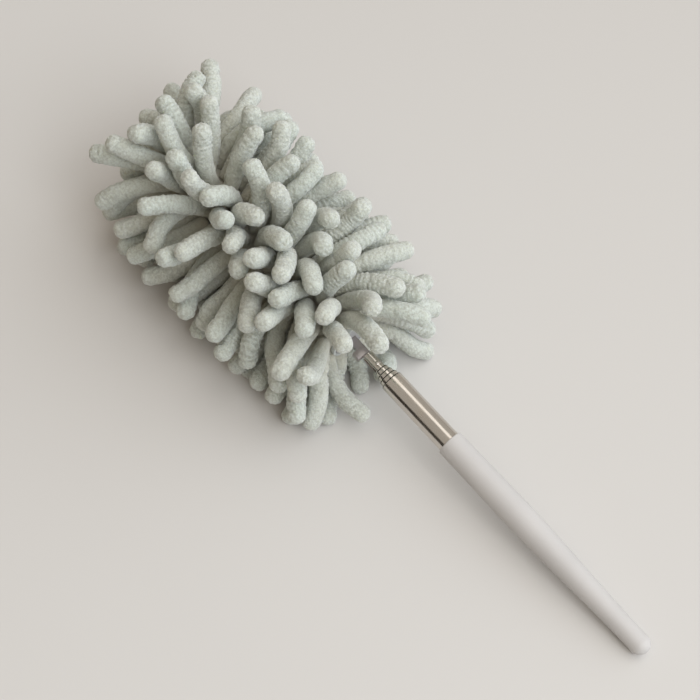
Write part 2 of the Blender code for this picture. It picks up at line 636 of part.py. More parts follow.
def settle(fingers):
    """Bends the fingers as chains until they clear each other, the table, the backing and the pole."""
    count = len(fingers)
    root = np.array([f.root for f in fingers])
    out = np.array([f.out for f in fingers])
    length = np.array([f.length - FINGER_RADIUS for f in fingers])
    lowest = np.array([FINGER_FLOOR + f.lift for f in fingers])[:, None]
    share = np.linspace(0.0, 1.0, FINGER_NODES)
    place = np.array(POLE_PLACE)
    turned, moved = place[:3, :3], place[:3, 3]
    down = turned.T @ np.array([0.0, 0.0, -1.0])
    level_part = np.sqrt(1 - (out @ down) ** 2)
    curl = np.array([f.curl for f in fingers])
    bent = np.linalg.norm(curl, axis=1)[:, None]
    ahead, aside = np.sin(bent * share) / bent, (1 - np.cos(bent * share)) / bent
    chain = ahead[..., None] * out[:, None] + aside[..., None] * (curl / bent)[:, None]
    chain = root[:, None] + chain * length[:, None, None]
    chain += (FINGER_DROOP * level_part[:, None] * share**2)[..., None] * down
    bow = chain[:, :-2] - 2 * chain[:, 1:-1] + chain[:, 2:]
    step = length / (FINGER_NODES - 1)
    girth = FINGER_RADIUS * ELBOW_SHARE * np.array([share_value(SIDE_SHARES, s) for s in share])
    girth[-1] = girth[-2]
    tiny = FINGER_RADIUS * TINY_SHARE
    # halfway points keep two chains from passing between each other's nodes
    middle_girth = (girth[1:] + girth[:-1]) / 2
    radius = np.concatenate([girth, middle_girth])
    samples = 2 * FINGER_NODES - 1
    owner = np.repeat(np.arange(count), samples)
    pairs = None
    for turn_number in range(SETTLE_STEPS):
        points = np.concatenate([chain, (chain[:, 1:] + chain[:, :-1]) / 2], axis=1).reshape(-1, 3)
        if turn_number % STEPS_A_SEARCH == 0:
            pairs = near_pairs(points, owner, 3 * FINGER_RADIUS)
        first, second = pairs
        gap = points[first] - points[second]
        far = np.linalg.norm(gap, axis=1)
        want = radius[first % samples] + radius[second % samples]
        push = np.clip(want - far, 0.0, None) * PUSH_SHARE
        shove = gap / np.maximum(far, tiny)[:, None] * push[:, None]
        moves = np.zeros_like(points)
        np.add.at(moves, first, shove)
        np.add.at(moves, second, -shove)
        touching = push > 0
        crowd = np.bincount(first[touching], minlength=len(points))
        crowd += np.bincount(second[touching], minlength=len(points))
        moves /= np.maximum(crowd * CROWD_SHARE, 1.0)[:, None]
        moves = moves.reshape(count, samples, 3)
        chain += moves[:, :FINGER_NODES]
        chain[:, 1:] += moves[:, FINGER_NODES:] / 2
        chain[:, :-1] += moves[:, FINGER_NODES:] / 2
        # a finger springs back to its own curl, less and less as the fingers come to rest
        stiff = 1 - turn_number / SETTLE_STEPS
        chain[:, 2:] += stiff * BEND_SHARE * (2 * chain[:, 1:-1] - chain[:, :-2] - chain[:, 2:] + bow)
        chain[:, 1] += stiff * ROOT_SHARE * (root + step[:, None] * out - chain[:, 1])
        # the backing and the pole
        reach = np.linalg.norm(chain[..., :2], axis=2)
        inside = chain[..., 2] > PIVOT + BLOCK_START
        over_backing = BACKING_RADIUS + girth * BACKING_SHARE
        over_pole = pole_radius(chain[..., 2]) + girth + POLE_CLEARANCE
        keep = np.where(inside, over_backing, over_pole)
        past_end = chain[..., 2] > SLEEVE_END
        spread = np.where(past_end, 1.0, np.maximum(keep / np.maximum(reach, tiny), 1.0))
        chain[:, 1:, :2] *= spread[:, 1:, None]
        # the table
        world = chain @ turned.T + moved
        world[..., 2] = np.maximum(world[..., 2], lowest)
        chain = (world - moved) @ turned
        # the fingers don't stretch
        chain[:, 0] = root
        for k in range(1, FINGER_NODES):
            part = chain[:, k] - chain[:, k - 1]
            chain[:, k] = chain[:, k - 1] + part / np.linalg.norm(part, axis=1)[:, None] * step[:, None]
    for finger, line in zip(fingers, chain):
        finger.line = [Vector(p) for p in line]
    return fingers


def near_pairs(points, owner, reach):
    """Pairs of points of unlike fingers that are nearer than reach."""
    firsts, seconds = [], []
    for start in range(0, len(points), POINTS_A_BLOCK):
        block = points[start:start + POINTS_A_BLOCK]
        far = np.linalg.norm(block[:, None] - points[None], axis=2)
        a, b = np.nonzero(far < reach)
        a += start
        keep = (a < b) & (owner[a] != owner[b])
        firsts.append(a[keep])
        seconds.append(b[keep])
    return np.concatenate(firsts), np.concatenate(seconds)


def point_on(line, share):
    """A point and a tangent on a smooth curve through the line's points."""
    last = len(line) - 1
    at = min(max(share, 0.0), 1.0) * last
    k = min(int(at), last - 1)
    t = at - k
    p1, p2 = line[k], line[k + 1]
    m1 = (line[k + 1] - line[max(k - 1, 0)]) / (2 if k else 1)
    m2 = (line[min(k + 2, last)] - line[k]) / (2 if k + 2 <= last else 1)
    h00, h10 = 2 * t**3 - 3 * t**2 + 1, t**3 - 2 * t**2 + t
    h01, h11 = -2 * t**3 + 3 * t**2, t**3 - t**2
    point = p1 * h00 + m1 * h10 + p2 * h01 + m2 * h11
    d00, d10 = 6 * t**2 - 6 * t, 3 * t**2 - 4 * t + 1
    d01, d11 = -6 * t**2 + 6 * t, 3 * t**2 - 2 * t
    return point, (p1 * d00 + m1 * d10 + p2 * d01 + m2 * d11).normalized()


def grow(bm, face, finger):
    """Draws one finger out of a root face, ring by ring."""
    centre = face.calc_center_median()
    across, along = finger.across.copy(), finger.along.copy()
    tangent = across.cross(along).normalized()
    if tangent.dot(finger.out) < 0:
        tangent = -tangent
    for share, side in SIDE_SHARES[1:]:
        point, direction = point_on(finger.line, share)
        if share == SIDE_SHARES[-1][0]:
            point = point + direction * FINGER_RADIUS * TIP_SHARE
        swing = tangent.rotation_difference(direction)
        new_across, new_along = swing @ across, swing @ along
        signs = {}
        made = bmesh.ops.extrude_discrete_faces(bm, faces=[face])["faces"][0]
        for vert in made.verts:
            off = vert.co - centre
            signs[vert] = (
                1.0 if off.dot(across) > 0 else -1.0,
                1.0 if off.dot(along) > 0 else -1.0,
            )
        half = side * FINGER_RADIUS
        for vert, (a, b) in signs.items():
            vert.co = point + (new_across * a + new_along * b) * half
        face, centre = made, point
        across, along, tangent = new_across, new_along, direction


def backing_ring(first_row, rows):
    """The cloth ring under some rows of fingers, with one band of quads a row on its outer side."""
    inner = BACKING_RADIUS - BACKING_THICKNESS
    low = SLEEVE_MOUTH + first_row * ROW_PITCH
    high = low + rows * ROW_PITCH - SLICE_GAP
    heights = [low] + [low + k * ROW_PITCH for k in range(1, rows)] + [high]
    bm = bmesh.new()
    outline = [(BACKING_RADIUS, z) for z in heights] + [(inner, high), (inner, low)]
    verts = [bm.verts.new((-r, 0.0, z)) for r, z in outline]
    edges = [bm.edges.new((a, b)) for a, b in zip(verts, verts[1:] + verts[:1])]
    bmesh.ops.spin(
        bm, geom=verts + edges, cent=(0, 0, 0), axis=(0, 0, 1), angle=2 * math.pi,
        steps=COLUMNS, use_merge=True, use_duplicate=False,
    )
    bmesh.ops.remove_doubles(bm, verts=bm.verts, dist=MERGE_DISTANCE)
    bmesh.ops.recalc_face_normals(bm, faces=bm.faces)
    return bm


def root_faces(bm):
    """The backing's outer quads by (row, column)."""
    found = {}
    for face in bm.faces:
        centre = face.calc_center_median()
        radial = Vector((centre.x, centre.y, 0.0)).normalized()
        if face.normal.dot(radial) < math.cos(math.pi / 4):
            continue
        angle = math.atan2(centre.y, -centre.x) % (2 * math.pi)
        column = int(angle / (2 * math.pi) * COLUMNS) % COLUMNS
        row = int((centre.z - SLEEVE_MOUTH) / ROW_PITCH)
        found[row, column] = face
    return found


def finish_mesh(bm, name):
    mesh = bpy.data.meshes.new(name)
    bm.to_mesh(mesh)
    bm.free()
    return mesh


def rest_flat(bm, height):
    """Cuts what reaches below a height over the table, and closes the cuts with flats."""
    inverse = POLE_PLACE.inverted()
    cut_edges = bmesh.ops.bisect_plane(
        bm, geom=list(bm.verts) + list(bm.edges) + list(bm.faces), dist=MERGE_DISTANCE,
        plane_co=inverse @ Vector((0.0, 0.0, height)), plane_no=inverse.to_3x3() @ Vector((0.0, 0.0, -1.0)),
        clear_outer=True,
    )["geom_cut"]
    rims = [item for item in cut_edges if isinstance(item, bmesh.types.BMEdge)]
    bmesh.ops.holes_fill(bm, edges=rims)


def sleeve_slice(brush, name, first_row, rows, fingers):
    bm = backing_ring(first_row, rows)
    faces = root_faces(bm)
    for finger in fingers:
        if finger.node == name:
            grow(bm, faces[finger.key], finger)
    rest_flat(bm, NECK_LIFT if name == NECK_NODE else 0.0)
    piece = brush.add(name, finish_mesh(bm, name), CHENILLE)
    smooth(piece)
    return piece


def end_block():
    """The rounded pad that closes the sleeve: a cube of three by three quads a side, drawn to a dome."""
    bm = bmesh.new()
    bmesh.ops.create_cube(bm, size=2.0)
    bmesh.ops.subdivide_edges(bm, edges=bm.edges, cuts=END_CUTS, use_grid_fill=True)
    for vert in bm.verts:
        x, y, z = vert.co
        round_x = x * math.sqrt(1 - y * y / 2)
        round_y = y * math.sqrt(1 - x * x / 2)
        height = (z + 1) / 2
        across = BACKING_RADIUS * (1 - END_DRAW_SHARE * height**2)
        fall = END_FALL_SHARE * (round_x**2 + round_y**2) * height**2
        vert.co = (round_x * across, round_y * across, SLEEVE_END + END_THICKNESS * (height - fall))
    bmesh.ops.recalc_face_normals(bm, faces=bm.faces)
    return bm


def sleeve_end(brush, fingers):
    bm = end_block()
    mine = [f for f in fingers if f.node == END_NODE]
    for finger, face in zip(mine, end_roots(bm, mine)):
        grow(bm, face, finger)
    piece = brush.add(END_NODE, finish_mesh(bm, END_NODE), CHENILLE)
    smooth(piece)
    return piece


def end_roots(bm, fingers):
    """For each end finger, the free face whose place best matches the finger's direction."""
    taken, faces = set(), []
    middle = Vector((0.0, 0.0, SLEEVE_END))
    for finger in fingers:
        best, score = None, -2.0
        for face in bm.faces:
            if face in taken or face.normal.z < -END_UNDER_SHARE:
                continue
            way = (face.calc_center_median() - middle).normalized()
            if way.dot(finger.out) > score:
                best, score = face, way.dot(finger.out)
        taken.add(best)
        faces.append(best)
    return faces


def hinge_empty(brush):
    """The pivot that the blade turns about."""
    hinge = bpy.data.objects.new("tilt_pivot", None)
    brush.parts.objects.link(hinge)
    hinge.parent = brush.pole
    hinge.location = (0.0, 0.0, PIVOT)
    return hinge


def all_fingers():
    """Every finger of the sleeve, settled among the others."""
    rng = random.Random(SEED)
    rings = ring_fingers(rng)
    ends = end_fingers(rng)
    bm = end_block()
    for finger, face in zip(ends, end_roots(bm, ends)):
        finger.root = face.calc_center_median()
    bm.free()
    return settle(rings + ends)


def main():
    clear_scene()
    brush = Brush()
    grip(brush)
    plug(brush)
    tubes = [tube(brush, k) for k in range(TUBE_COUNT)]
    for k in range(1, TUBE_COUNT):
        bush(brush, k)
    slotted_mouth(brush, tubes[-1])
    rivet(brush)
    blade(brush, hinge_empty(brush))
    core_base(brush)
    core_tube(brush)
    band(brush)
    fingers = all_fingers()
    row = 0
    for name, rows in SLICES:
        sleeve_slice(brush, name, row, rows, fingers)
        row += rows
    sleeve_end(brush, fingers)
    return brush, fingers


main()
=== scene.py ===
import json
import math
import random

import bmesh
import bpy
import numpy as np
from mathutils import Matrix, Vector

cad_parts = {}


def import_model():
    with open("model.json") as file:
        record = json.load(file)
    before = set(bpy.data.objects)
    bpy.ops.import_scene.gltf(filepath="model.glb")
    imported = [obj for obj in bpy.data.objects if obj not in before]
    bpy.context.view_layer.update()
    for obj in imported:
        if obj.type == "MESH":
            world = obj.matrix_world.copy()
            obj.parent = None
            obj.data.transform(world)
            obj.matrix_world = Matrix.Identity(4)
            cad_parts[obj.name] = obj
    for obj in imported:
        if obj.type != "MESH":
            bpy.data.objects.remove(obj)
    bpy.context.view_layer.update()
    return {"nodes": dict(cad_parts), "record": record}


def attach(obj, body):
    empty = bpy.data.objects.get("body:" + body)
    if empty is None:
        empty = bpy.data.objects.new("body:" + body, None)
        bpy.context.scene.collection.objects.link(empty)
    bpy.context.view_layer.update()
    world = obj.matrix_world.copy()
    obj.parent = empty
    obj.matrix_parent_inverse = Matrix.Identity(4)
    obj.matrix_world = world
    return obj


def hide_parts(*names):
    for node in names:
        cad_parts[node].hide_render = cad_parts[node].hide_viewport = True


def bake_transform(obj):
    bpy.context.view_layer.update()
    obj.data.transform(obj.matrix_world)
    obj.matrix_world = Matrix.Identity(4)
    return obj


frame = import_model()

MM = 0.001

# The pole's place on the table, as the CAD has it
POLE_TILT = math.radians(7.4)
TAIL = Vector((-143.6 * MM, 0.0, 4.2 * MM))
POLE_PLACE = Matrix.Translation(TAIL) @ Matrix.Rotation(math.pi / 2 - POLE_TILT, 4, "Y")
POLE_TURN = np.array(POLE_PLACE)[:3, :3]
POLE_SHIFT = np.array(POLE_PLACE)[:3, 3]

# Grip
GRIP_LENGTH = 104.0 * MM
GRIP_MOUTH_RADIUS = 5.6 * MM
GRIP_WAIST_RADIUS = 5.9 * MM
GRIP_TAIL_RADIUS = 4.2 * MM
GRIP_LIP = 0.5 * MM
GRIP_BORE_RADIUS = 4.8 * MM
GRIP_BORE_DEPTH = 4.0 * MM
GRIP_SIDES = 96
GRIP_LIP_STEPS = 6
GRIP_TAIL_STEPS = 16
GRIP_TAPER_STEPS = 16
GRIP_TAPER_END_SHARE = 0.65  # the taper from the tail ends this far along the grip

# Telescopic tubes, the thickest first
TUBE_OUTER_RADIUS = 4.75 * MM
TUBE_WALL = 0.3 * MM
TUBE_SPACE = 0.3 * MM
TUBE_COUNT = 5
TUBE_SHOWN = 33.8 * MM
TUBE_STEP = 2.0 * MM
TUBE_SIDES = 96
GRIP_SOCKET_DEPTH = 62.0 * MM
PLUG_LENGTH = 3.0 * MM
FOOT_GAP = 0.3 * MM
NECK_LENGTH = 1.3 * MM
NECK_CLEARANCE = 0.1 * MM
ROLL_LENGTH = 0.7 * MM
ROLL_EDGE = 0.04 * MM
ROLL_STEPS = 12
MOUTH_LINE = 0.45 * MM  # painted shade: the dark band at a rolled-in mouth
MOUTH_ROUND = 0.12 * MM
TIP_LENGTH = 8.0 * MM
PIVOT_FROM_MOUTH = 5.6 * MM
SLOT_WIDTH = 2.0 * MM
SLOT_BELOW_PIVOT = 1.95 * MM
BLOCK_START = 6.2 * MM
CORE_START = 14.8 * MM
BAND_LENGTH = 2.2 * MM
RIVET_RADIUS = 0.55 * MM
RIVET_HEAD_RADIUS = 1.0 * MM
RIVET_HEAD_HEIGHT = 0.45 * MM
RIVET_HEAD_GAP = 0.05 * MM
RIVET_SIDES = 32
RIVET_DOME_STEPS = 6
CUT_OVERRUN = 1.0 * MM
MERGE_DISTANCE = 0.001 * MM
SMOOTH_ANGLE = math.radians(40.0)
EDGE_ROUND = 0.12 * MM

# Sleeve: the layout of the fingers is the CAD's own
BACKING_RADIUS = 10.5 * MM
BACKING_THICKNESS = 2.0 * MM
ROW_PITCH = 6.5 * MM
FINGERS_A_ROW = 11
NECK_NODE = "sleeve_neck"
END_NODE = "sleeve_end"
SLICES = (
    (NECK_NODE, 2), ("sleeve_1", 3), ("sleeve_2", 3), ("sleeve_3", 3), ("sleeve_4", 3), ("sleeve_5", 2),
)
SLICE_GAP = 0.3 * MM
END_THICKNESS = 4.5 * MM
END_DRAW_SHARE = 0.28  # how much narrower the closed end's front is
END_FALL_SHARE = 0.33  # how far its front's rim falls back
END_CUTS = 2
END_UNDER_SHARE = 0.2  # a face whose normal points down more than this carries no finger
FINGER_LENGTH = 36.0 * MM
END_FINGER_LENGTH = 23.0 * MM
FINGER_RADIUS = 4.2 * MM
LENGTH_JITTER = 2.6 * MM
FINGER_DROOP = 9.0 * MM
FINGER_FLOOR = 2.6 * MM
NECK_LIFT = 0.6 * MM
POLE_CLEARANCE = 0.6 * MM
SEED = 13
# Lean along the head, in degrees, against the share of the sleeve's length from its mouth
LEAN_SHARES = ((0.0, -34.0), (0.06, -32.0), (0.15, -22.0), (0.5, -8.0), (0.75, 4.0), (1.0, 20.0))
# Side of a solid finger's section, as shares of its radius, against the share of its length
SIDE_SHARES = ((0.0, 0.4), (0.22, 0.54), (0.5, 0.68), (0.84, 0.72), (1.0, 0.4))
# The hinge shows between the fingers on one side, where these shares of their lean are taken off
WINDOW_SHARES = ((0.0, 0.75), (0.12, 0.72), (0.6, 0.0), (1.0, 0.0))
WINDOW_ANGLE = math.radians(34.0)
WINDOW_SPREAD = math.radians(24.0)
# The fingers fall apart at a parting, in degrees from the head's top, along the sleeve
PARTING_SHARES = ((0.0, 30.0), (1.0, 50.0))
PARTING_SPREAD = math.radians(40.0)
PARTING_LEAN = math.radians(20.0)
SIDE_DROOP = math.radians(8.0)
LEAN_JITTER = math.radians(12.0)
SIDE_JITTER = math.radians(16.0)
CURL_LEAST = math.radians(15.0)
CURL_MOST = math.radians(60.0)
END_CORNER_TILT = math.radians(38.0)
END_SIDE_TILT = math.radians(64.0)
END_JITTER = math.radians(5.0)
# How the fingers settle, as chains of nodes
FINGER_NODES = 6
SETTLE_STEPS = 150
STEPS_A_SEARCH = 15
PUSH_SHARE = 0.4  # of an overlap that each of two fingers gives way in one step
CROWD_SHARE = 0.5  # how much the pushes on a place are shared out among its neighbours
BEND_SHARE = 0.06  # of a bend that a finger takes back in one step
ROOT_SHARE = 0.2
BACKING_SHARE = 0.8  # of its room that a finger keeps over the backing
ELBOW_SHARE = 1.52  # room that a finger keeps about its middle line, against its section's half side
TINY_SHARE = 0.01  # of a finger's radius, below which two points count as one
POINTS_A_BLOCK = 400

# Places along the pole, from the tail
TUBE_RADII = tuple(TUBE_OUTER_RADIUS - k * (TUBE_WALL + TUBE_SPACE) for k in range(TUBE_COUNT))
TUBE_MOUTHS = tuple(
    GRIP_LENGTH + TUBE_SHOWN + k * TUBE_STEP if k < TUBE_COUNT - 1
    else GRIP_LENGTH + TUBE_SHOWN + (k - 1) * TUBE_STEP + TIP_LENGTH
    for k in range(TUBE_COUNT)
)
OUTER_FOOT = GRIP_LENGTH - GRIP_SOCKET_DEPTH
INNER_FOOT = OUTER_FOOT + PLUG_LENGTH + FOOT_GAP
PIVOT = TUBE_MOUTHS[-1] - PIVOT_FROM_MOUTH
SLEEVE_MOUTH = PIVOT + CORE_START + BAND_LENGTH
SLEEVE_END = SLEEVE_MOUTH + sum(rows for _, rows in SLICES) * ROW_PITCH
COLUMNS = 2 * FINGERS_A_ROW
TINY = FINGER_RADIUS * TINY_SHARE

# Surface of a finger
ROUND_SHARES = ((0.0, 0.66), (0.2, 0.82), (0.5, 0.91), (0.85, 0.93), (1.0, 0.91))  # radius along it
GIRTH_SHARES = (0.95, 1.04)  # the thinnest and the thickest finger
FINGER_SIDES = 40
FINGER_RINGS = 56
RING_SPREAD = 0.75  # rings lie closer together towards the tip
TIP_RINGS = 9
TIP_SQUARENESS = 2.25
TURN_ANGLES = np.linspace(0.0, 2 * math.pi, FINGER_SIDES, endpoint=False)
LUMP_SIZE = 4.6 * MM
LUMP_HEIGHT = 0.22 * MM
TUFT_SIZE = 1.5 * MM
TUFT_HEIGHT = 0.5 * MM
TUFT_SHARPNESS = 2.2
TUFT_LEAST_SHARE = 0.35  # of the tufts' height, where the pile lies smooth
PATCH_SIZE = 9.0 * MM
RIB_PITCH = 1.9 * MM
RIB_HEIGHT = 0.42 * MM
RIB_WAVER = 0.8
RIB_LEVELS = (-0.2, 1.0)  # the smoothest and the most ribbed finger
PILE_GROWS_SHARE = 0.2  # the pile grows to its full height over this stretch from the root
PILE_ROOT_SHARE = 0.3  # of its height at the root
GROOVES = 2
GROOVE_PLACE_SHARES = (0.3, 0.97)  # where along a finger a groove may lie
GROOVE_WIDTH = 1.1 * MM
GROOVE_DEPTH = 0.6 * MM
GROOVE_EVEN_SHARE = 0.6  # of its depth goes all the way round, and the rest is on one side
TABLE_LIFT = 0.05 * MM

# Noise in the pile: each cell of space gets a number, by its place and by what the noise is for
LUMP_SALT = 1
FLUFF_SALT = 3
RIB_SALT = 4
WAVER_SALT = 5
TUFT_SALT = 6
CELL_OFFSET = 1000.0  # keeps the cells' numbers above zero
CELL_FACTORS = (73856093, 19349663, 83492791)
SALT_FACTOR = 2654435761
SCRAMBLE_FACTOR = 1274126177

# Camera, as the photograph was taken: its lens and place, and where the tail lies from what it looks at
IMAGE_SIZE = 700
FOCAL_PIXELS = 1600
SENSOR = 36.0
CAMERA_ELEVATION = math.radians(61.0)
CAMERA_DISTANCE = 661.0 * MM
OBJECT_YAW = math.radians(132.05)
TAIL_FROM_CENTRE = Vector((107.7 * MM, -127.3 * MM, 0.0))


def on_table(right, away, up=0.0):
    """A point given as the camera sees the table, from the point it looks at, in the object's frame."""
    turn_back = Matrix.Rotation(-OBJECT_YAW, 3, "Z")
    point = turn_back @ (Vector((right, away, 0.0)) - TAIL_FROM_CENTRE)
    return Vector((point.x + TAIL.x, point.y, up))


# Node trees


class Tree:
    """Adds and joins nodes in few words."""

    def __init__(self, tree):
        self.tree = tree

    def add(self, kind, **values):
        node = self.tree.nodes.new(kind)
        for key, value in values.items():
            if hasattr(node, key):
                setattr(node, key, value)
            else:
                node.inputs[key.replace("_", " ")].default_value = value
        return node

    def join(self, source, target):
        self.tree.links.new(source, target)

    def math(self, kind, a, b):
        node = self.add("ShaderNodeMath", operation=kind)
        for socket, value in zip(node.inputs, (a, b)):
            if isinstance(value, bpy.types.NodeSocket):
                self.join(value, socket)
            else:
                socket.default_value = value
        return node.outputs["Value"]


class Material(Tree):
    """A new material, of one Principled shader."""

    def __init__(self, name):
        self.made = bpy.data.materials.new(name)
        self.made.use_nodes = True
        super().__init__(self.made.node_tree)
        self.shader = self.tree.nodes["Principled BSDF"]

    def set(self, **values):
        for key, value in values.items():
            self.shader.inputs[key.replace("_", " ")].default_value = value

    def place(self, turned=(0.0, 0.0, 0.0), scale=(1.0, 1.0, 1.0)):
        """Object coordinates, turned and scaled."""
        coordinates = self.add("ShaderNodeTexCoord")
        mapping = self.add("ShaderNodeMapping", vector_type="TEXTURE")
        mapping.inputs["Rotation"].default_value = turned
        mapping.inputs["Scale"].default_value = scale
        self.join(coordinates.outputs["Object"], mapping.inputs["Vector"])
        return mapping.outputs["Vector"]

    def noise(self, place, size, detail=2.0, roughness=0.5, distortion=0.0):
        node = self.add("ShaderNodeTexNoise", Scale=1.0 / size, Detail=detail, Roughness=roughness,
                        Distortion=distortion)
        self.join(place, node.inputs["Vector"])
        return node.outputs["Fac"]

    def ramp(self, value, stops):
        """Greys by value: stops are (place, grey)."""
        node = self.add("ShaderNodeValToRGB")
        elements = node.color_ramp.elements
        while len(elements) < len(stops):
            elements.new(0.5)
        for element, (at, grey) in zip(elements, stops):
            element.position = at
            element.color = (grey, grey, grey, 1.0)
        self.join(value, node.inputs["Fac"])
        return node.outputs["Color"]

    def mix(self, fac, a, b):
        """Two colours mixed: each value is a number, a colour or another node's output."""
        node = self.add("ShaderNodeMix", data_type="RGBA")
        for socket, value in ((node.inputs[0], fac), (node.inputs[6], a), (node.inputs[7], b)):
            if isinstance(value, bpy.types.NodeSocket):
                self.join(value, socket)
            elif isinstance(value, tuple):
                socket.default_value = (*value, 1.0)
            else:
                socket.default_value = value
        return node.outputs[2]

    def bump(self, height, distance, strength, after=None):
        """Raises the surface by a height, on top of another bump if one is given."""
        node = self.add("ShaderNodeBump", Distance=distance, Strength=strength)
        self.join(height, node.inputs["Height"])
        if after is not None:
            self.join(after, node.inputs["Normal"])
        self.join(node.outputs["Normal"], self.shader.inputs["Normal"])
        return node.outputs["Normal"]


# Colours and grain of the materials
SAGE_PALE = (0.645, 0.672, 0.622)
SAGE_DEEP = (0.60, 0.617, 0.557)
SAGE_GREEN = (0.595, 0.638, 0.588)
# painted shade in the pile's pits and creases
SAGE_PAINTED_SHADE = (0.44, 0.45, 0.40)
SAGE_ROOT = (0.60, 0.58, 0.49)
STEEL = (0.66, 0.62, 0.57)
HINGE = (0.50, 0.455, 0.455)
# painted shade: the near-black of the gap at each rolled-in mouth
MOUTH_PAINTED_SHADE = (0.045, 0.04, 0.034)
BRONZE = (0.60, 0.42, 0.22)
WHITE = (0.59, 0.57, 0.555)
GREY = (0.42, 0.42, 0.42)
ELASTIC = (0.55, 0.57, 0.55)
ALONG_POLE = (0.0, -POLE_TILT, 0.0)
STREAK_SIZE = 0.35 * MM
STREAK_DEPTH = 0.006 * MM
STREAK_ROUGH_SHARE = 0.6  # of the steel's uneven roughness, the rest is in the smudges
SMUDGE_SIZE = 7.0 * MM
SMUDGE_TINT = (0.92, 0.86, 0.78)
TONE_SIZE = 16.0 * MM
SCUFF_SIZE = 1.1 * MM
SCUFF_STREAK = 9.0
GRIP_GRAIN = 0.6 * MM
GRIP_GRAIN_DEPTH = 0.02 * MM
CORE_GRAIN = 0.9 * MM
CORE_GRAIN_DEPTH = 0.04 * MM
CURL_SIZE = 0.9 * MM
CURL_DEPTH = 0.4 * MM
PILE_SIZE = 0.5 * MM
PILE_DEPTH = 0.35 * MM
PILE_PATCH_SIZE = 5.0 * MM
PILE_LIGHT_REACH = 4.5 * MM
KNIT_RIB = 1.0 * MM
KNIT_RIB_DEPTH = 0.2 * MM
KNIT_PILE_SIZE = 0.6 * MM
KNIT_PILE_DEPTH = 0.1 * MM


def darker(colour, share):
    return tuple(share * c for c in colour)


def steel(name, colour, low, high, streak=18.0):
    """Drawn steel: fine streaks along the pole and broad smudges, its roughness from low to high."""
    n = Material(name)
    drawn = n.place(ALONG_POLE, (streak, 1.0, 1.0))
    plain = n.place()
    fine = n.noise(drawn, STREAK_SIZE, 3.0, 0.6)
    smudge = n.noise(plain, SMUDGE_SIZE, 3.0, 0.6, 0.6)
    tint = n.mix(n.ramp(fine, ((0.3, 0.82), (0.7, 1.0))), darker(colour, 0.8), colour)
    greasy = tuple(c * w for c, w in zip(colour, SMUDGE_TINT))
    smudged = n.mix(n.ramp(smudge, ((0.45, 0.0), (0.75, 0.35))), tint, greasy)
    n.join(smudged, n.shader.inputs["Base Color"])
    spread = high - low
    in_streaks = n.ramp(fine, ((0.3, 0.0), (0.75, 1.0)))
    in_smudges = n.ramp(smudge, ((0.4, 0.0), (0.7, 1.0)))
    rough = n.math(
        "ADD", n.math("MULTIPLY", in_streaks, spread * STREAK_ROUGH_SHARE),
        n.math("MULTIPLY", in_smudges, spread * (1 - STREAK_ROUGH_SHARE)),
    )
    n.join(n.math("ADD", rough, low), n.shader.inputs["Roughness"])
    n.bump(fine, STREAK_DEPTH, 0.5)
    n.set(Metallic=1.0)
    return n.made


def moulded(name, colour, rough, grain, depth):
    """Moulded plastic: fine grain, faint scuffs along the pole and faint uneven tone."""
    n = Material(name)
    plain = n.place()
    drawn = n.place(ALONG_POLE, (SCUFF_STREAK, 1.0, 1.0))
    tone = n.noise(plain, TONE_SIZE, 3.0)
    scuff = n.noise(drawn, SCUFF_SIZE, 4.0, 0.7)
    shade = n.mix(n.ramp(tone, ((0.35, 0.0), (0.7, 1.0))), darker(colour, 0.955), colour)
    scuffed = n.mix(n.ramp(scuff, ((0.66, 0.0), (0.8, 0.5))), shade, darker(colour, 0.86))
    n.join(scuffed, n.shader.inputs["Base Color"])
    n.join(n.math("ADD", n.math("MULTIPLY", scuff, 0.16), rough - 0.08), n.shader.inputs["Roughness"])
    fine = n.bump(n.noise(plain, grain, 2.0), depth, 0.6)
    n.bump(scuff, depth, 0.35, fine)
    n.set(IOR=1.46)
    return n.made


def chenille_material():
    """Cut microfibre pile: granular, matt, pale sage green, with painted shade in its pits and creases, and
    browner towards the fingers' roots.
    """
    n = Material("chenille_pile")
    plain = n.place()
    depth = n.add("ShaderNodeAttribute", attribute_name="along").outputs["Fac"]
    tone = n.add("ShaderNodeAttribute", attribute_name="tone").outputs["Fac"]
    crease = n.add("ShaderNodeAttribute", attribute_name="crease").outputs["Fac"]
    curl = n.add("ShaderNodeTexVoronoi", Scale=1.0 / CURL_SIZE, Randomness=1.0)
    n.join(plain, curl.inputs["Vector"])
    loops = curl.outputs["Distance"]
    fibres = n.noise(plain, PILE_SIZE, 3.0, 0.65)
    patch = n.noise(plain, PILE_PATCH_SIZE, 2.0)
    base = n.mix(n.ramp(patch, ((0.3, 0.0), (0.7, 1.0))), SAGE_DEEP, SAGE_PALE)
    base = n.mix(tone, base, SAGE_GREEN)
    # painted shade in the pits between the pile's loops
    pit_shade = n.ramp(n.math("MULTIPLY", loops, fibres), ((0.2, 0.0), (0.42, 0.75)))
    base = n.mix(pit_shade, base, SAGE_PAINTED_SHADE)
    # painted shade in the creases between tufts and ribs
    base = n.mix(n.ramp(crease, ((0.35, 0.0), (1.0, 0.5))), base, SAGE_PAINTED_SHADE)
    rooty = n.ramp(depth, ((0.0, 1.0), (0.45, 0.25), (0.75, 0.0)))
    base = n.mix(rooty, base, SAGE_ROOT)
    n.join(base, n.shader.inputs["Base Color"])
    soft = n.bump(loops, -CURL_DEPTH, 0.7)
    n.bump(fibres, PILE_DEPTH, 0.9, soft)
    n.set(Subsurface_Weight=0.6, Subsurface_Radius=(1.0, 0.97, 0.85), Subsurface_Scale=PILE_LIGHT_REACH)
    n.set(Roughness=0.95, Sheen_Weight=0.25, Sheen_Roughness=0.5, Specular_IOR_Level=0.2)
    return n.made


